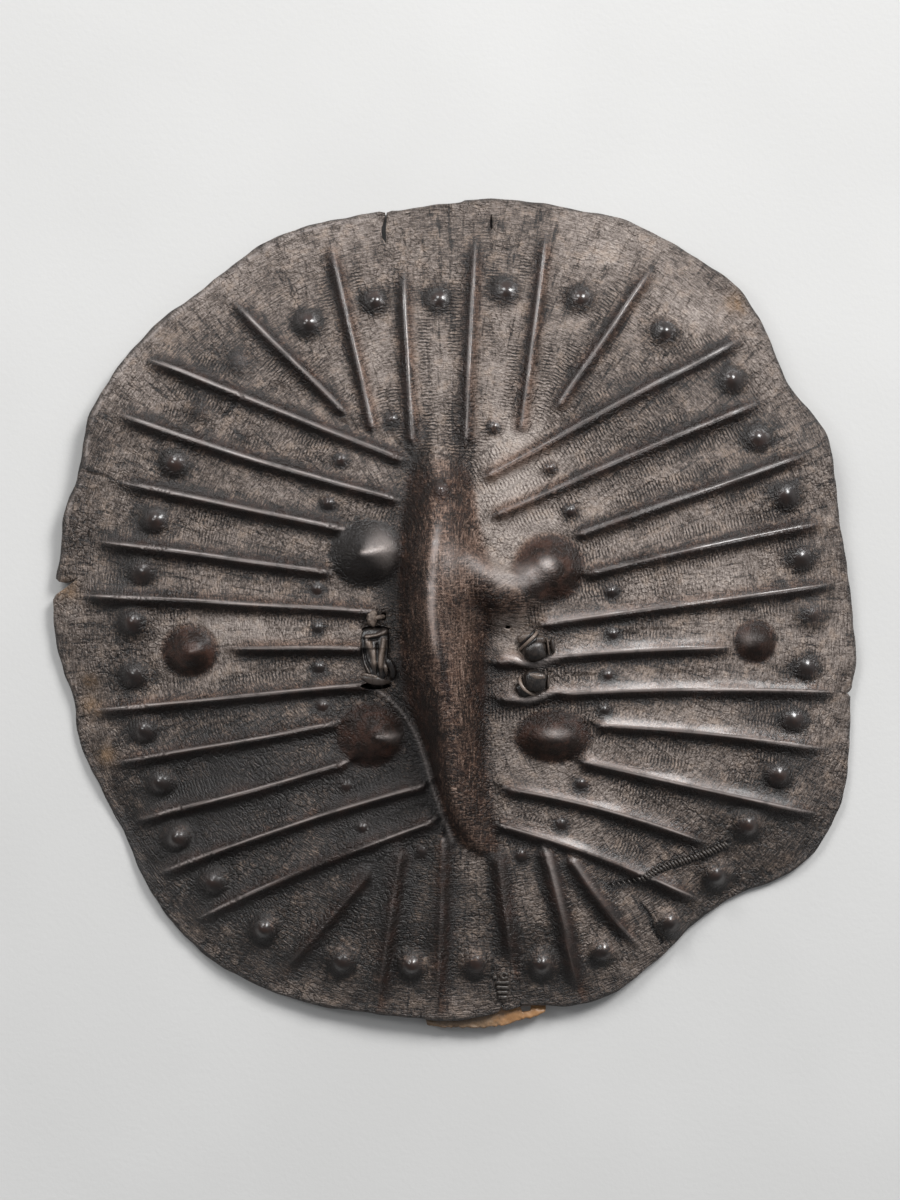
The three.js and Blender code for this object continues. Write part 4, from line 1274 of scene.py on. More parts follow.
# ---- The grip strap ----
LOOP_LIFTS = [
    # y, height of the strap's underside over the hide
    [-14, -18], [-14, -9], [-14.3, -2.5], [-16, 0.3], [-20, 1.0], [-29, 1.6],
    [-38, 1.8], [-47, 1.5], [-56, 0.9], [-60, 0.2], [-61.7, -2.5], [-62, -9], [-62, -18],
]
LOOP_EDGES = np.array([
    # share of the way down, left and right edge from the slit's middle
    [0, -10.5, 11], [0.2, -12, 11.5], [0.5, -11.5, 11], [0.72, -8.5, 9.5], [0.88, -4, 8], [1, -3.5, 8],
], float)
LOOP_FOLDS = [
    # height (below 0 for a valley), half width, then the fold's line in plan
    [2.0, 1.1, [-79.5, -17], [-80, -27], [-77.8, -42], [-73, -50.5]],
    [-1.8, 0.9, [-78, -22], [-77.5, -32], [-75.6, -40], [-72, -47]],
    [2.2, 1.3, [-76, -20.5], [-68, -19.5], [-58, -16.5]],
    [-2.2, 1.0, [-73.5, -23], [-66, -22]],
    [2.5, 3.0, [-74, -25], [-70, -33.5], [-68, -42]],
    [-1.8, 1.0, [-66.5, -27], [-66.5, -38], [-66, -51]],
    [2.8, 2.5, [-60.8, -23.5], [-62.5, -36], [-63.5, -45]],
    [1.4, 1.0, [-57.5, -22], [-57.8, -36], [-60, -46]],
]
LOOP_BODY = 2.2


def front_loop(shell):
    """The strap where it lies over the front, bagged out and creased into a V."""
    route = curve_through(LOOP_LIFTS, 0.8)
    tangents = unit_rows(np.gradient(route, axis=0))
    across = np.concatenate([np.linspace(-1, 1, 49), np.linspace(1, -1, 14)[1:-1]])[None, :]
    on_top = (np.arange(across.size) < 49)[None, :]
    y, lift = route[:, 0:1], route[:, 1:2]
    share = np.clip((LOOP_LIFTS[0][0] - y) / (LOOP_LIFTS[0][0] - LOOP_LIFTS[-1][0]), 0, 1)
    left, right = (np.interp(share, LOOP_EDGES[:, 0], LOOP_EDGES[:, column]) for column in (1, 2))
    uneven = 0.5 * value_noise(share * 9, across, 1, 62)
    x = SLIT_X + (left + right) / 2 + (right - left) / 2 * across + uneven
    base = front_height(x, y + 0 * x)
    edge = np.sqrt(np.clip(1 - np.abs(across) ** 5, 0, 1))
    height = LOOP_BODY + 0.4 * value_noise(across * 5, share * 8, 1, 61)
    for rise, half, *line in LOOP_FOLDS:
        distance, _ = distance_to_line(line, x, y + 0 * x)
        height = height + rise * bell(distance, half)
    rise = np.maximum(height, 0.5) * edge * on_top
    rings = np.stack([x, y - rise * -tangents[:, 1:2], base + lift - rise * tangents[:, 0:1]], axis=-1)
    # Tone follows the strap's height: its edges are dark as painted shade, and its raised folds are pale as
    # painted highlights.
    tones = np.clip((rise - LOOP_BODY) / 2.6 + 0.1, 0, 1)
    shell.add_rings(rings[:, ::-1], tones[:, ::-1])


def loop_ear(shell):
    """The strap's edge bulges out in a small dark ear at the lower right of the loop."""
    base = height_at(-56, -50)
    sweep(shell, [
        [-61, -37, base - 1], [-57.5, -40.5, base + 3], [-54, -46, base + 3.4],
        [-53, -52, base + 2.6], [-56, -58, base - 3],
    ], 3.1, 2.6, taper=0.3, sides=14, tone=0.1)
    sweep(shell, [
        [-60.5, -42, base + 3], [-59, -47, base + 5], [-58.6, -53, base + 2],
    ], 1.5, 1.2, taper=0.3, sides=10, tone=0.7)


def loop_tab(shell):
    """The loop spreads into a flat folded tab over its lower slit."""
    left, right = height_at(-82, -55), height_at(-56, -58)
    middle = (left + right) / 2
    sweep(shell, [
        [-82, -54, left - 0.8], [-77, -55, left + 2], [-70, -57, middle + 3.4],
        [-62, -58.5, right + 2.6], [-55, -59, right - 1],
    ], 3.4, 1.1, taper=0.4, sides=14, rough=0.15, tone=0.5)
    sweep(shell, [
        [-80, -52, left - 0.5], [-75, -52.6, left + 2.4], [-69, -54, middle + 3.6], [-64, -55.5, middle + 2],
    ], 1.5, 1.2, taper=0.3, sides=10, tone=0.85)


def strand(shell, index):
    y, end_y = SLIT_YS[index], KNOT_YS[index]
    right = KNOT_XS[index]
    left_z = float(back_height(SLIT_X, y)) - 7
    right_z = height_at(right, end_y)
    near_y, far_y = (y + (end_y - y) * share for share in (0.3, 0.7))
    sweep(shell, [
        [SLIT_X - 2, y, left_z], [SLIT_X + 14, y, STRAND_Z + 4], [SLIT_X + 40, near_y, STRAND_Z],
        [right - 34, far_y, STRAND_Z], [right - 10, end_y, STRAND_Z + 5],
        [right, end_y, right_z - 14], [right, end_y, right_z + 3],
    ], STRAND_WIDTH / 2, STRAND_THICKNESS / 2, normal=(0.3, 0, 1), sides=20, rough=0.1)


def add_lumps(shell, x, y, z, lumps):
    """Rounded lumps of a knot, each as its place from the knot's, its radii and its shape."""
    for (from_x, from_y, from_z), radii, shape in lumps:
        blob(shell, [x + from_x, y + from_y, z + from_z], radii, **shape)


def upper_knot(shell):
    """A rounded lump with a slanting band over it, a pale flap, and a thin disc at its right end."""
    x, y = KNOT_XS[0], KNOT_YS[0]
    base = height_at(x, y)
    add_lumps(shell, x, y, base, [
        [(-1, -4, 4), [10.6, 9.6, 9], dict(lean=0.25, square=0.86, lumps=0.05, tone=0.2)],
        [(14, 0.5, 3.5), [2, 6.8, 6], dict(lean=0.12, square=0.75, lumps=0.04, seed=52, tone=0.3)],
        # A thin pale slab on the disc's left edge is a painted highlight.
        [(10, -0.5, 3.6), [0.9, 8, 7], dict(lean=0.12, square=0.75, lumps=0.03, seed=53, tone=0.85)],
        [(-9.5, 7, 2), [6.6, 4, 4.4], dict(lean=0.35, square=0.7, lumps=0.08, seed=54, tone=0.75)],
        [(3, 5, 6), [5, 4, 5], dict(lean=0.2, square=0.9, lumps=0.05, seed=61, tone=0.6)],
    ])
    band = [(-14.5, -4, 0.5), (-11, -0.5, 7.8), (-6, 4.5, 11), (-1.5, 9, 9.4), (1, 12.5, 1)]
    # The near-black cords beside the band are painted shade along its edges.
    for aside, radius, tone in ((0, 1.5, 1.0), (-2.3, 1.1, 0.0), (2.3, 1.2, 0.0)):
        path = [[x + i + aside * 0.6, y + j - aside, base + k] for i, j, k in band]
        sweep(shell, path, radius, radius * 0.8, sides=12, taper=0.15, tone=tone)


def lower_knot(shell):
    """A squarish roll with a pale strap end curving round its lower left."""
    x, y = KNOT_XS[1], KNOT_YS[1]
    base = height_at(x, y)
    add_lumps(shell, x, y, base, [
        [(2, 2.5, 5), [10.2, 9.6, 8], dict(lean=-0.1, square=0.6, lumps=0.04, seed=55, tone=0.12)],
        # A pale cap along the roll's top is a painted highlight.
        [(3, 6.5, 8.6), [8.2, 3.4, 4.8], dict(lean=-0.1, square=0.8, lumps=0.04, seed=62, tone=0.75)],
        [(13.4, 2.5, 3), [1.5, 7, 6], dict(lean=-0.05, square=0.75, lumps=0.04, seed=56, tone=0.6)],
        [(-8, -5, 3), [7, 6, 5.6], dict(lean=-0.7, square=0.8, lumps=0.06, seed=57, tone=0.05)],
    ])
    end = [(-10.5, 7, 2), (-10.5, 1.5, 8), (-7, -4.5, 9.4), (-0.5, -8.5, 6.5), (4, -10, 1)]
    path = [[x + i, y + j, base + k] for i, j, k in end]
    sweep(shell, path, 1.5, 1.2, sides=14, taper=0.2, tone=1.0)


def strap_shell():
    shell = Shell()
    strand(shell, 0)
    strand(shell, 1)
    front_loop(shell)
    loop_ear(shell)
    loop_tab(shell)
    upper_knot(shell)
    lower_knot(shell)
    return shell


def thong_shell():
    shell = Shell()
    hole_x, hole_y = THONG_HOLE
    knot_x, knot_y = THONG_KNOT
    top = height_at(hole_x, hole_y)
    knot_z = height_at(knot_x, knot_y) + 2.6
    blob(shell, [knot_x, knot_y, knot_z], [4.6, 6.6, 4], lean=0.1, lumps=0.22, seed=58)
    blob(shell, [knot_x + 1.5, knot_y + 4, knot_z + 0.6], [3.4, 3, 2.8], lean=0.6, lumps=0.2, seed=59)
    sweep(shell, [
        [hole_x, hole_y, top - 14], [hole_x, hole_y, top - 3], [hole_x - 1.5, hole_y - 0.5, top + 0.8],
        [(hole_x + knot_x) / 2, (hole_y + knot_y) / 2, knot_z + 0.8], [knot_x, knot_y, knot_z],
    ], 1.9, 1.6, sides=10)
    return shell


# ---- Stitching ----
TEAR_PITCH = 2.9


def tear_shell():
    """Close whip stitches over the tear, and a few wide-set ones at its left end."""
    shell = Shell()
    line = curve_through(TEAR, 0.5)
    lengths = lengths_along(line)
    tangents = unit_rows(np.gradient(line, axis=0))
    sewn_from = TEAR_SEWN_FROM * lengths[-1]
    places = [(at, 1.15, 3.6) for at in np.arange(sewn_from, lengths[-1], TEAR_PITCH)]
    places += [(at, 0.6, 2.4) for at in np.arange(3, sewn_from - 2, 4.6)]
    for number, (at, radius, reach) in enumerate(places):
        i = int(np.searchsorted(lengths, at))
        point, along = line[i], tangents[i]
        side = np.array([-along[1], along[0]])
        uneven = 0.5 * float(value_noise(number * 1.7, 3, 1, 71))
        start = point + side * (reach + uneven) - along * 1.5
        end = point - side * (reach - uneven) + along * 1.5
        rise = np.array([-0.6, 0.7, 1.5, 0.7, -0.6]) * radius + 0.3
        flat = 0.5 * (height_at(*start) + height_at(*end))
        across = start + (end - start) * np.linspace(0, 1, 5)[:, None]
        path = np.column_stack([across, flat + rise])
        sweep(shell, path, radius, radius * 0.8, sides=8, taper=0.25, step=0.9)
    return shell


def split_shell():
    """Cross stitches over the split at the bottom of the rim, tied off in a small ring."""
    shell = Shell()
    for i in range(SPLIT_STITCHES):
        y = SPLIT_TOP - i * SPLIT_STITCH_PITCH
        half = SPLIT_STITCH_LENGTH / 2 * (1.1 - 0.12 * i)
        path = []
        for across, lift in ((-1, -0.8), (-0.7, 1.2), (0, 1.6), (0.7, 1.2), (1, -0.8)):
            x = SPLIT_X + 1 + half * across
            path.append([x, y - 0.5 * across * (i % 2), height_at(x, y) + lift])
        sweep(shell, path, 1.7, 1.3, sides=10, taper=0.2, rough=0.12)
    ring_x, ring_y = SPLIT_X + 2, SPLIT_TOP + 6
    top = height_at(ring_x, ring_y) + 0.7
    turn = np.linspace(0, 2 * np.pi * 0.96, 12)
    ring = np.stack([ring_x + 2.6 * np.cos(turn), ring_y + 2.4 * np.sin(turn), top + 0 * turn], axis=1)
    sweep(shell, ring, 1.3, 1.1, sides=10)
    end_x, end_y = ring_x - 8, ring_y - 1.5
    blob(shell, [end_x, end_y, height_at(end_x, end_y) + 0.5], [2, 1.7, 1.4], lumps=0.2, seed=60)
    return shell


# ---- The raw-hide patch behind the bottom rim ----
PATCH_GAP = [[56, -342.5], [58, -348], [65, -347], [66, -342.5]]  # daylight between patch and rim


def patch_top(x, y):
    bearing = bearing_of(x, y)
    inset = np.maximum(0, rim_reach(bearing) - np.hypot(x, y))
    near = rim_points(bearing, rim_reach(bearing) - inset)
    beneath = np.min([back_height(near[:, 0] + step, near[:, 1]) for step in (-4, 0, 4)], axis=0) - 0.5
    proud = smoothstep((np.hypot(x, y) - rim_reach(bearing) - 0.5) / 3)
    fibres = 0.7 * value_noise(x * 0.35, y * 1.6, 1.1, 81) + 0.5 * value_noise(x, y, 7, 82)
    fold = 2.6 * bell(np.hypot(x - 76, (y + 349) * 1.4), 6) + 1.5 * bell(np.hypot(x - 66, y + 354), 5)
    return beneath - 0.6 + proud * (0.9 + fibres + fold)


def patch_surface():
    edge = curve_through(PATCH_EDGE + PATCH_EDGE[:1], 1.2)[:-1]
    x, y = edge.T
    ragged = 0.7 * value_noise(x, y, 3.1, 83) + 0.5 * value_noise(x, y, 1.3, 84)
    edge = edge + outward(edge) * np.where(edge[:, 1] < -340, ragged, 0)[:, None]
    gap = resampled(PATCH_GAP + PATCH_GAP[:1], 1.2)[:-1][::-1]
    low, high = edge.min(0), edge.max(0)
    columns, rows = np.arange(low[0], high[0], 1.7), np.arange(low[1], high[1], 1.5)
    net = np.stack(np.meshgrid(columns, rows), axis=-1).reshape(-1, 2)
    inside = inside_polygon(edge, net[:, 0], net[:, 1]) & ~inside_polygon(gap, net[:, 0], net[:, 1])
    for loop in (edge, gap):
        distance, _ = distance_to_line(np.vstack([loop, loop[:1]]), net[:, 0], net[:, 1])
        inside &= distance > 0.8
    points = np.vstack([edge, gap, net[inside]])
    plan = triangles_in_plan(points, [edge, gap])
    top = np.column_stack([points, patch_top(points[:, 0], points[:, 1])])
    under = top - [0, 0, PATCH_THICKNESS]
    faces = [plan, plan[:, ::-1] + len(points)]
    start = 0
    for loop in (edge, gap):
        upper = start + np.arange(len(loop))
        faces += wall(upper, upper + len(points))
        start += len(loop)
    return np.vstack([top, under]), np.vstack(faces)


# ---- Node materials ----
class Graph:
    """A short way to write a node material."""

    def __init__(self, name):
        self.material = bpy.data.materials.new(name)
        self.material.use_nodes = True
        self.tree = self.material.node_tree
        self.tree.nodes.clear()
        self.where = self.node("TexCoord").outputs["Object"]

    def node(self, kind, inputs=None, **settings):
        made = self.tree.nodes.new("ShaderNode" + kind)
        for key, value in settings.items():
            setattr(made, key, value)
        for key, value in (inputs or {}).items():
            self.feed(made.inputs[key], value)
        return made

    def feed(self, socket, value):
        if isinstance(value, bpy.types.NodeSocket):
            self.tree.links.new(value, socket)
        else:
            socket.default_value = value

    def math(self, operation, *values):
        return self.node("Math", dict(enumerate(values)), operation=operation).outputs[0]

    def chained(self, operation, first, *others):
        for value in others:
            first = self.math(operation, first, value)
        return first

    def product(self, *values):
        return self.chained("MULTIPLY", *values)

    def total(self, *values):
        return self.chained("ADD", *values)

    def centred(self, value, strength, middle=0.5):
        """How far a value is from its middle, times a strength."""
        return self.product(self.math("SUBTRACT", value, middle), strength)

    def attribute(self, name):
        return self.node("Attribute", attribute_name=name).outputs["Fac"]

    def stretched(self, scale, where=None):
        return self.node("Mapping", {"Vector": where or self.where, "Scale": scale}).outputs[0]

    def round_the_middle(self):
        """The place as distance from the middle, and way round it at a fifth of a metre's reach."""
        parts = self.node("SeparateXYZ", {0: self.where}).outputs
        reach = self.node("VectorMath", {0: self.where}, operation="LENGTH").outputs["Value"]
        bearing = self.product(self.math("ARCTAN2", parts[1], parts[0]), 0.2)
        return self.node("CombineXYZ", {0: reach, 1: bearing}).outputs[0]

    def noise(self, scale, detail=3, roughness=0.55, where=None):
        inputs = {"Vector": where or self.where, "Scale": scale, "Detail": detail, "Roughness": roughness}
        return self.node("TexNoise", inputs).outputs["Fac"]

    def warped(self, scale, amount):
        """The point, pushed about a little so that cells get uneven edges."""
        shove = self.node("TexNoise", {"Vector": self.where, "Scale": scale, "Detail": 2}).outputs["Color"]
        centred = self.node("VectorMath", {0: shove, 1: (0.5, 0.5, 0.5)}, operation="SUBTRACT").outputs[0]
        scaled = self.node("VectorMath", {0: centred, "Scale": amount}, operation="SCALE").outputs[0]
        return self.node("VectorMath", {0: self.where, 1: scaled}, operation="ADD").outputs[0]

    def cells(self, scale, feature="F1", where=None):
        inputs = {"Vector": where or self.where, "Scale": scale}
        return self.node("TexVoronoi", inputs, feature=feature).outputs["Distance"]

    def span(self, value, low, high, to_low=0.0, to_high=1.0):
        inputs = {"Value": value, "From Min": low, "From Max": high, "To Min": to_low, "To Max": to_high}
        return self.node("MapRange", inputs, interpolation_type="SMOOTHSTEP").outputs[0]

    def mix(self, share, a, b, blend="MIX"):
        made = self.node("Mix", data_type="RGBA", blend_type=blend)
        for index, value in ((0, share), (6, a), (7, b)):
            if isinstance(value, tuple):
                value = (*value, 1)
            self.feed(made.inputs[index], value)
        return made.outputs[2]

    def finish(self, colour, roughness, height, bump_mm, coat=0.0, specular=0.5):
        bump = self.node("Bump", {"Height": height, "Distance": bump_mm * MM, "Strength": 1.0})
        inputs = {
            "Base Color": colour, "Roughness": roughness, "Normal": bump.outputs[0],
            "Specular IOR Level": specular, "Coat Weight": coat, "Coat Roughness": 0.14,
        }
        shader = self.node("BsdfPrincipled", inputs)
        output = self.node("OutputMaterial")
        self.tree.links.new(shader.outputs[0], output.inputs["Surface"])
        return self.material


PALE = (0.38, 0.327, 0.292)
DUSTY = (0.196, 0.16, 0.139)
BROWN = (0.07, 0.05, 0.039)
DARK = (0.011, 0.0085, 0.0075)
REDDISH = (0.055, 0.026, 0.018)
OCHRE = (0.23, 0.14, 0.075)
# Pale tone of worn crests, which also paints highlights on crests, boss faces, the arm, folds and the rim's
# lip.
PALE_WEAR_AND_HIGHLIGHT = (0.44, 0.385, 0.36)
WARMTH = (1.0, 0.76, 0.63)  # multiplies the colour of the reddish parts
BACK_PALE = (0.2, 0.145, 0.095)
BACK_DARK = (0.07, 0.045, 0.03)
TICK_PITCH = 2.9  # from one tooled tick to the next along a rib

# Pale, middle and dark tones of a leather.
STRAP_TONES = ((0.17, 0.13, 0.105), (0.045, 0.034, 0.028), (0.007, 0.0055, 0.005))
PATCH_TONES = ((0.34, 0.18, 0.08), (0.19, 0.125, 0.075), (0.09, 0.06, 0.042))
# Pale and dark tones.
THONG_TONES = ((0.19, 0.145, 0.115), (0.05, 0.035, 0.027))
THREAD_TONES = ((0.075, 0.062, 0.052), (0.012, 0.009, 0.008))
FLOOR_TONES = ((0.545, 0.54, 0.529), (0.573, 0.568, 0.557))


def hide_patterns(g):
    """The patterns that the hide's colour and its surface share."""
    around = g.round_the_middle()
    blotches = g.noise(75, 5, 0.68)
    grain = g.noise(520, 4, 0.7)
    threads = g.noise(1, 3, 0.6, g.stretched((820, 170, 1), around))
    warp = g.noise(1, 4, 0.65, g.stretched((560, 70, 200)))
    weft = g.noise(1, 4, 0.65, g.stretched((80, 620, 200)))
    ticks_at = g.total(g.attribute("hatch_at"), g.product(g.noise(190, 3), 4.2))
    ticks = g.span(g.math("SINE", g.product(ticks_at, 2 * math.pi / TICK_PITCH)), -0.1, 0.9)
    return SimpleNamespace(
        clouds=g.noise(22, 3, 0.6),
        blotches=blotches,
        grain=grain,
        threads=threads,
        spokes=g.noise(1, 4, 0.65, g.stretched((30, 330, 1), around)),
        wrinkles=g.cells(170, "DISTANCE_TO_EDGE", g.warped(150, 0.008)),
        weave=g.math("MAXIMUM", warp, weft),
        ticks=g.product(ticks, g.attribute("hatch"), g.span(blotches, 0.3, 0.5)),
        speckle=g.total(g.centred(grain, 1.6), g.centred(threads, 1.9)),
    )


def hide_dust_and_shade(g, patterns):
    """How much dust lies on a point, with painted shade and painted light mixed in, from none on bare dark
    skin to over 1 on the palest flats.
    """
    wrinkled = g.span(patterns.clouds, 0.4, 0.62, 0.0, -0.28)
    return g.total(
        g.attribute("paleness"),
        g.product(patterns.speckle, 0.85),
        g.centred(patterns.blotches, 1.25),
        g.centred(patterns.clouds, 0.6),
        g.span(patterns.spokes, 0.48, 0.3, 0.0, -0.45),
        g.product(patterns.ticks, -0.5),
        g.product(g.span(patterns.wrinkles, 0.07, 0.0), wrinkled),
        # Dirt and painted shade darken the dust.
        g.product(g.attribute("dirt_and_painted_shade"), -0.95),
        g.product(g.attribute("streaks"), g.centred(patterns.weave, 3.4, 0.57)),
    )


def hide_colour(g, patterns, dust_and_painted_shade):
    """Dark skin under dust, with stains, reddish parts, worn crests, painted highlights, a dark rim partly in
    painted shade and a brown back.
    """
    def patchy(name, *reach):
        return g.product(g.attribute(name), g.span(patterns.blotches, *reach))

    colour = DARK
    for low, high, layer in ((-0.05, 0.4, BROWN), (0.25, 0.75, DUSTY), (0.6, 1.25, PALE)):
        colour = g.mix(g.span(dust_and_painted_shade, low, high), colour, layer)
    ochre = g.product(g.span(patterns.blotches, 0.5, 0.66), g.span(dust_and_painted_shade, 0.2, 0.6, 0.0, 0.24))
    colour = g.mix(ochre, colour, OCHRE)
    colour = g.mix(patchy("stain", 0.35, 0.55, 0.2, 0.8), colour, OCHRE)
    warmed = g.mix(0.75, colour, WARMTH, "MULTIPLY")
    colour = g.mix(g.span(g.attribute("reddish"), 0.0, 0.5), colour, warmed)
    # Painted shade, with the raw hide's dark edge, along the rim, broken up by noise.
    rim = g.product(g.attribute("rim_edge_dark_and_shade"), g.span(g.noise(60, 2), 0.35, 0.6, 0.4, 0.9))
    back = g.mix(g.span(g.total(patterns.blotches, patterns.grain), 0.75, 1.25), BACK_DARK, BACK_PALE)
    for share, layer in (
        (patchy("reddish", 0.42, 0.66, 0.1, 1.0), REDDISH),
        # Worn crests and painted highlights are paled, and the rim's edge gets painted shade.
        (patchy("crest", 0.3, 0.5, 0.5, 0.95), PALE_WEAR_AND_HIGHLIGHT),
        (patchy("rim_lip_highlight", 0.35, 0.6, 0.0, 0.6), PALE_WEAR_AND_HIGHLIGHT),
        (rim, DARK),
        (g.span(g.attribute("back"), 0.6, 1.0), back),
    ):
        colour = g.mix(share, colour, layer)
    return colour


def hide_roughness(g, patterns):
    """Polished parts of the front shine, and are smooth where hands rubbed them most."""
    shine = g.product(g.attribute("polish"), g.span(g.attribute("back"), 0.6, 1.0, 1.0, 0.0))
    uneven = g.product(g.total(patterns.speckle, g.centred(patterns.blotches, 1)), 0.13)
    calmed = g.span(g.attribute("smooth"), 0.2, 0.9, 1.0, 0.15)
    return g.total(g.span(shine, 0.0, 0.9, 0.44, 0.3), g.product(uneven, calmed))


def hide_grain(g, patterns):
    """Fine relief: threads of the hide, grain, wrinkles and tooled ticks, flattened by rubbing."""
    wrinkled = g.span(patterns.clouds, 0.4, 0.62, 0.15, 0.6)
    relief = g.total(
        patterns.threads,
        g.product(patterns.grain, 0.8),
        g.product(g.span(patterns.wrinkles, 0.0, 0.22), wrinkled),
        g.product(patterns.ticks, -0.6),
    )
    return g.product(relief, g.span(g.attribute("smooth"), 0.0, 0.9, 1.0, 0.06))


def hide_material():
    g = Graph("embossed_hide")
    patterns = hide_patterns(g)
    return g.finish(
        hide_colour(g, patterns, hide_dust_and_shade(g, patterns)),
        hide_roughness(g, patterns),
        hide_grain(g, patterns),
        bump_mm=1.4,
        coat=g.span(g.attribute("smooth"), 0.45, 1.0, 0.0, 0.62),
        specular=g.span(g.attribute("reddish"), 0.1, 0.7, 0.52, 0.26),
    )


def toned_leather(name, pale, middle, dark):
    """Handled leather: each part's tone runs from dark to pale; on the strap, dark folds and edges and pale
    ridges are partly painted shade and painted highlights.
    """
    g = Graph(name)
    blotches = g.noise(210, 4, 0.6)
    grain = g.noise(1, 3, 0.6, g.stretched((1300, 420, 700)))
    tone = g.total(g.attribute("tone"), g.centred(blotches, 0.8), g.centred(grain, 0.6))
    colour = g.mix(g.span(tone, 0.0, 0.55), dark, middle)
    colour = g.mix(g.span(tone, 0.5, 1.1), colour, pale)
    return g.finish(colour, g.span(grain, 0.2, 0.8, 0.24, 0.42), g.total(grain, blotches), bump_mm=0.2)


def plain_leather(name, pale, dark, scale, roughness, bump_mm):
    """Leather whose colour and surface run from dark creases to pale worn parts."""
    g = Graph(name)
    blotches = g.noise(scale, 4, 0.6)
    grain = g.noise(1, 3, 0.6, g.stretched((700, 700, 700)))
    share = g.total(g.product(blotches, 0.7), g.product(grain, 0.5))
    colour = g.mix(g.span(share, 0.42, 0.8), dark, pale)
    rough = g.span(grain, 0.2, 0.8, roughness - 0.08, roughness + 0.1)
    return g.finish(colour, rough, g.total(grain, blotches), bump_mm)


def floor_material():
    g = Graph("pale_floor")
    colour = g.mix(g.span(g.noise(3, 3), 0.3, 0.7), *FLOOR_TONES)
    return g.finish(colour, 0.85, g.noise(220, 3), bump_mm=0.15, specular=0.2)


# ---- Pieces ----
def make_piece(name, vertices, faces, material, node, attributes):
    mesh = bpy.data.meshes.new(name)
    faces = faces.tolist() if isinstance(faces, np.ndarray) else faces
    mesh.from_pydata(place(vertices), [], faces)
    mesh.polygons.foreach_set("use_smooth", [True] * len(mesh.polygons))
    for key, values in attributes.items():
        layer = mesh.attributes.new(key, "FLOAT", "POINT")
        layer.data.foreach_set("value", np.asarray(values, np.float32))
    mesh.materials.append(material)
    piece = bpy.data.objects.new(name, mesh)
    bpy.context.scene.collection.objects.link(piece)
    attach(piece, "root")
    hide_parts(node)


def build_pieces():
    vertices, faces, is_back = hide_surface()
    attributes = hide_attributes(vertices, is_back)
    make_piece("shield_hide", vertices, faces, hide_material(), "hide_body", attributes)
    strap_leather = toned_leather("strap_leather", *STRAP_TONES)
    thong_leather = plain_leather("pale_thong", *THONG_TONES, scale=400, roughness=0.6, bump_mm=0.4)
    sinew = plain_leather("sinew_thread", *THREAD_TONES, scale=500, roughness=0.34, bump_mm=0.25)
    for name, shell, material, node, slot in (
        ("strap", strap_shell(), strap_leather, "grip_strap", "strap"),
        ("thong_end", thong_shell(), thong_leather, "thong_knot", "thong"),
        ("tear_stitches", tear_shell(), sinew, "tear_stitching", "thread"),
        ("rim_stitches", split_shell(), sinew, "rim_stitching", "thread"),
    ):
        make_piece(name, shell.vertices, shell.faces, material, node, {"tone": shell.tones})
    vertices, faces = patch_surface()
    tones = 0.35 + 0.65 * smoothstep((vertices[:, 0] - 10) / 45)  # the patch is paler to the right
    raw_hide = toned_leather("raw_hide", *PATCH_TONES)
    make_piece("raw_patch", vertices, faces, raw_hide, "rim_patch", {"tone": tones})


# ---- Floor, light and camera ----
FLOOR_HALF = 4.0  # metres, like all sizes below
CAMERA_OVER = (-0.0043, 0.0123)  # it looks straight down on this place
CAMERA_HEIGHT = 2.2
FRAME_HEIGHT = 1.05  # what the picture takes in at the floor, top to bottom
SENSOR = 36.0  # height of the camera's sensor, in millimetres
FLOOR_LEVEL = -0.0004  # just under the parts of the rim that lie on the ground
ROOM_DIM = 0.2
ROOM_BRIGHT = 0.68
ROOM_SPAN = (-0.35, 0.9)  # how far towards the top a direction leans where the room is dim, and bright
ROOM_TO_THE_RIGHT = 0.45  # a lean to the right counts this much as a lean towards the top
ROOM_COLOUR = (0.94, 0.965, 1.0, 1)
LIGHTS = [  # name, place, size and watts; all of them aim at the shield's middle
    ["window_left", (-1.7, 3.3, 2.9), (1.5, 1.5), 88],
    ["side_strip", (-2.3, 1.0, 2.3), (0.5, 1.3), 18],
    ["window_right", (2.3, 2.9, 2.9), (1.6, 1.6), 226],
]


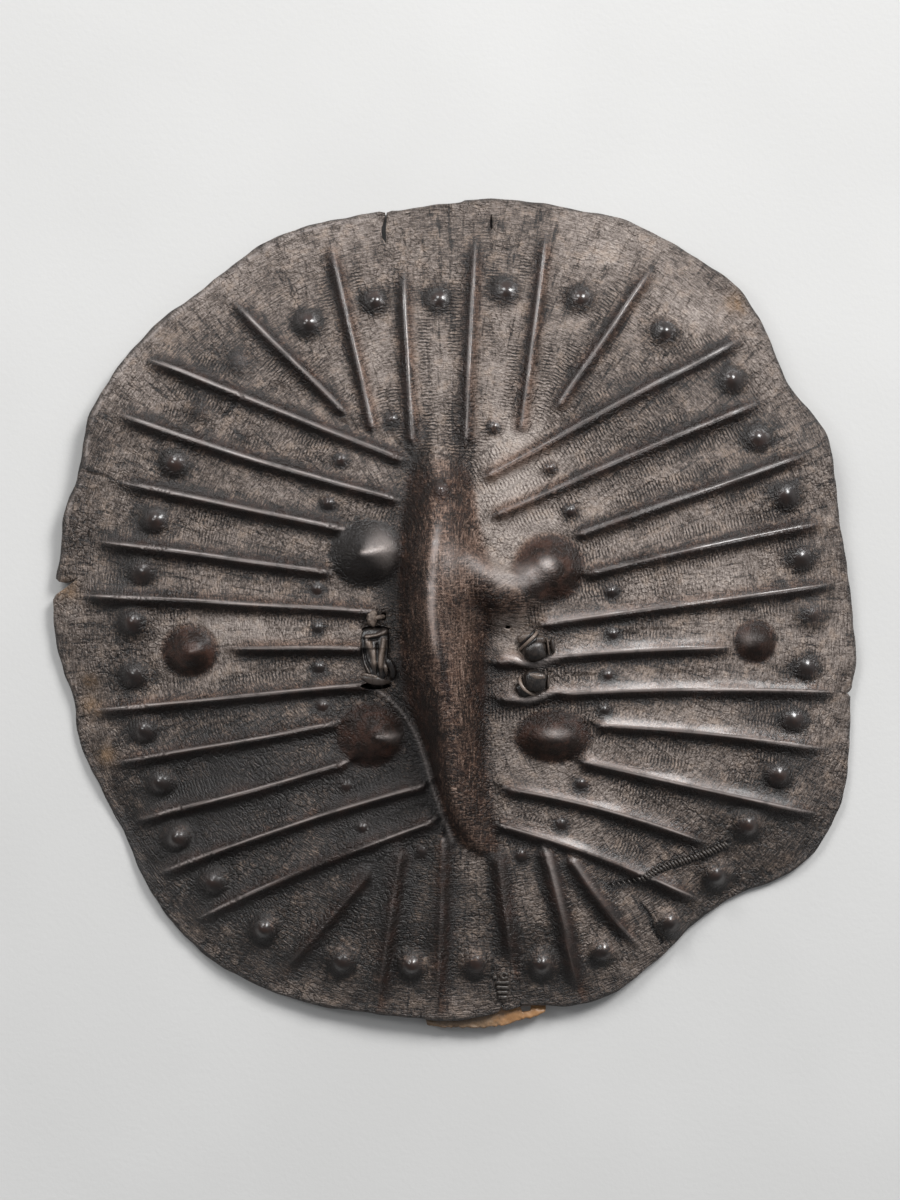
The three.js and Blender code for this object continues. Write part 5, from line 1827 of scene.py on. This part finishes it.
def build_floor():
    mesh = bpy.data.meshes.new("floor")
    corners = [(-1, -1), (1, -1), (1, 1), (-1, 1)]
    mesh.from_pydata([(x * FLOOR_HALF, y * FLOOR_HALF, FLOOR_LEVEL) for x, y in corners], [], [(0, 1, 2, 3)])
    mesh.materials.append(floor_material())
    floor = bpy.data.objects.new("floor", mesh)
    bpy.context.scene.collection.objects.link(floor)


def build_light(name, place_at, size, power):
    light = bpy.data.lights.new(name, "AREA")
    light.shape = "RECTANGLE"
    light.size, light.size_y = size
    light.energy = power
    lamp = bpy.data.objects.new(name, light)
    lamp.location = place_at
    lamp.rotation_euler = (-lamp.location).to_track_quat("-Z", "Y").to_euler()
    bpy.context.scene.collection.objects.link(lamp)


def build_world():
    """A dim room that is brighter towards the shield's top, where the windows are."""
    world = bpy.data.worlds.new("studio")
    world.use_nodes = True
    tree = world.node_tree
    direction = tree.nodes.new("ShaderNodeTexCoord").outputs["Generated"]
    parts = tree.nodes.new("ShaderNodeSeparateXYZ")
    tree.links.new(direction, parts.inputs[0])
    ramp = tree.nodes.new("ShaderNodeMapRange")
    ramp.interpolation_type = "SMOOTHSTEP"
    leaning = tree.nodes.new("ShaderNodeMath")
    leaning.operation = "MULTIPLY_ADD"
    leaning.inputs[1].default_value = ROOM_TO_THE_RIGHT
    tree.links.new(parts.outputs["X"], leaning.inputs[0])
    tree.links.new(parts.outputs["Y"], leaning.inputs[2])
    tree.links.new(leaning.outputs[0], ramp.inputs["Value"])
    limits = (*ROOM_SPAN, ROOM_DIM, ROOM_BRIGHT)
    for socket, value in zip(("From Min", "From Max", "To Min", "To Max"), limits):
        ramp.inputs[socket].default_value = value
    background = tree.nodes["Background"]
    background.inputs["Color"].default_value = ROOM_COLOUR
    tree.links.new(ramp.outputs[0], background.inputs["Strength"])
    bpy.context.scene.world = world


def build_camera():
    camera = bpy.data.cameras.new("camera")
    camera.sensor_fit = "VERTICAL"
    camera.sensor_height = SENSOR
    camera.lens = SENSOR * CAMERA_HEIGHT / FRAME_HEIGHT
    seat = bpy.data.objects.new("camera", camera)
    seat.location = (*CAMERA_OVER, CAMERA_HEIGHT)
    bpy.context.scene.collection.objects.link(seat)
    bpy.context.scene.camera = seat


build_pieces()
build_floor()
for row in LIGHTS:
    build_light(*row)
build_world()
build_camera()
bpy.context.scene.view_settings.view_transform = "Standard"
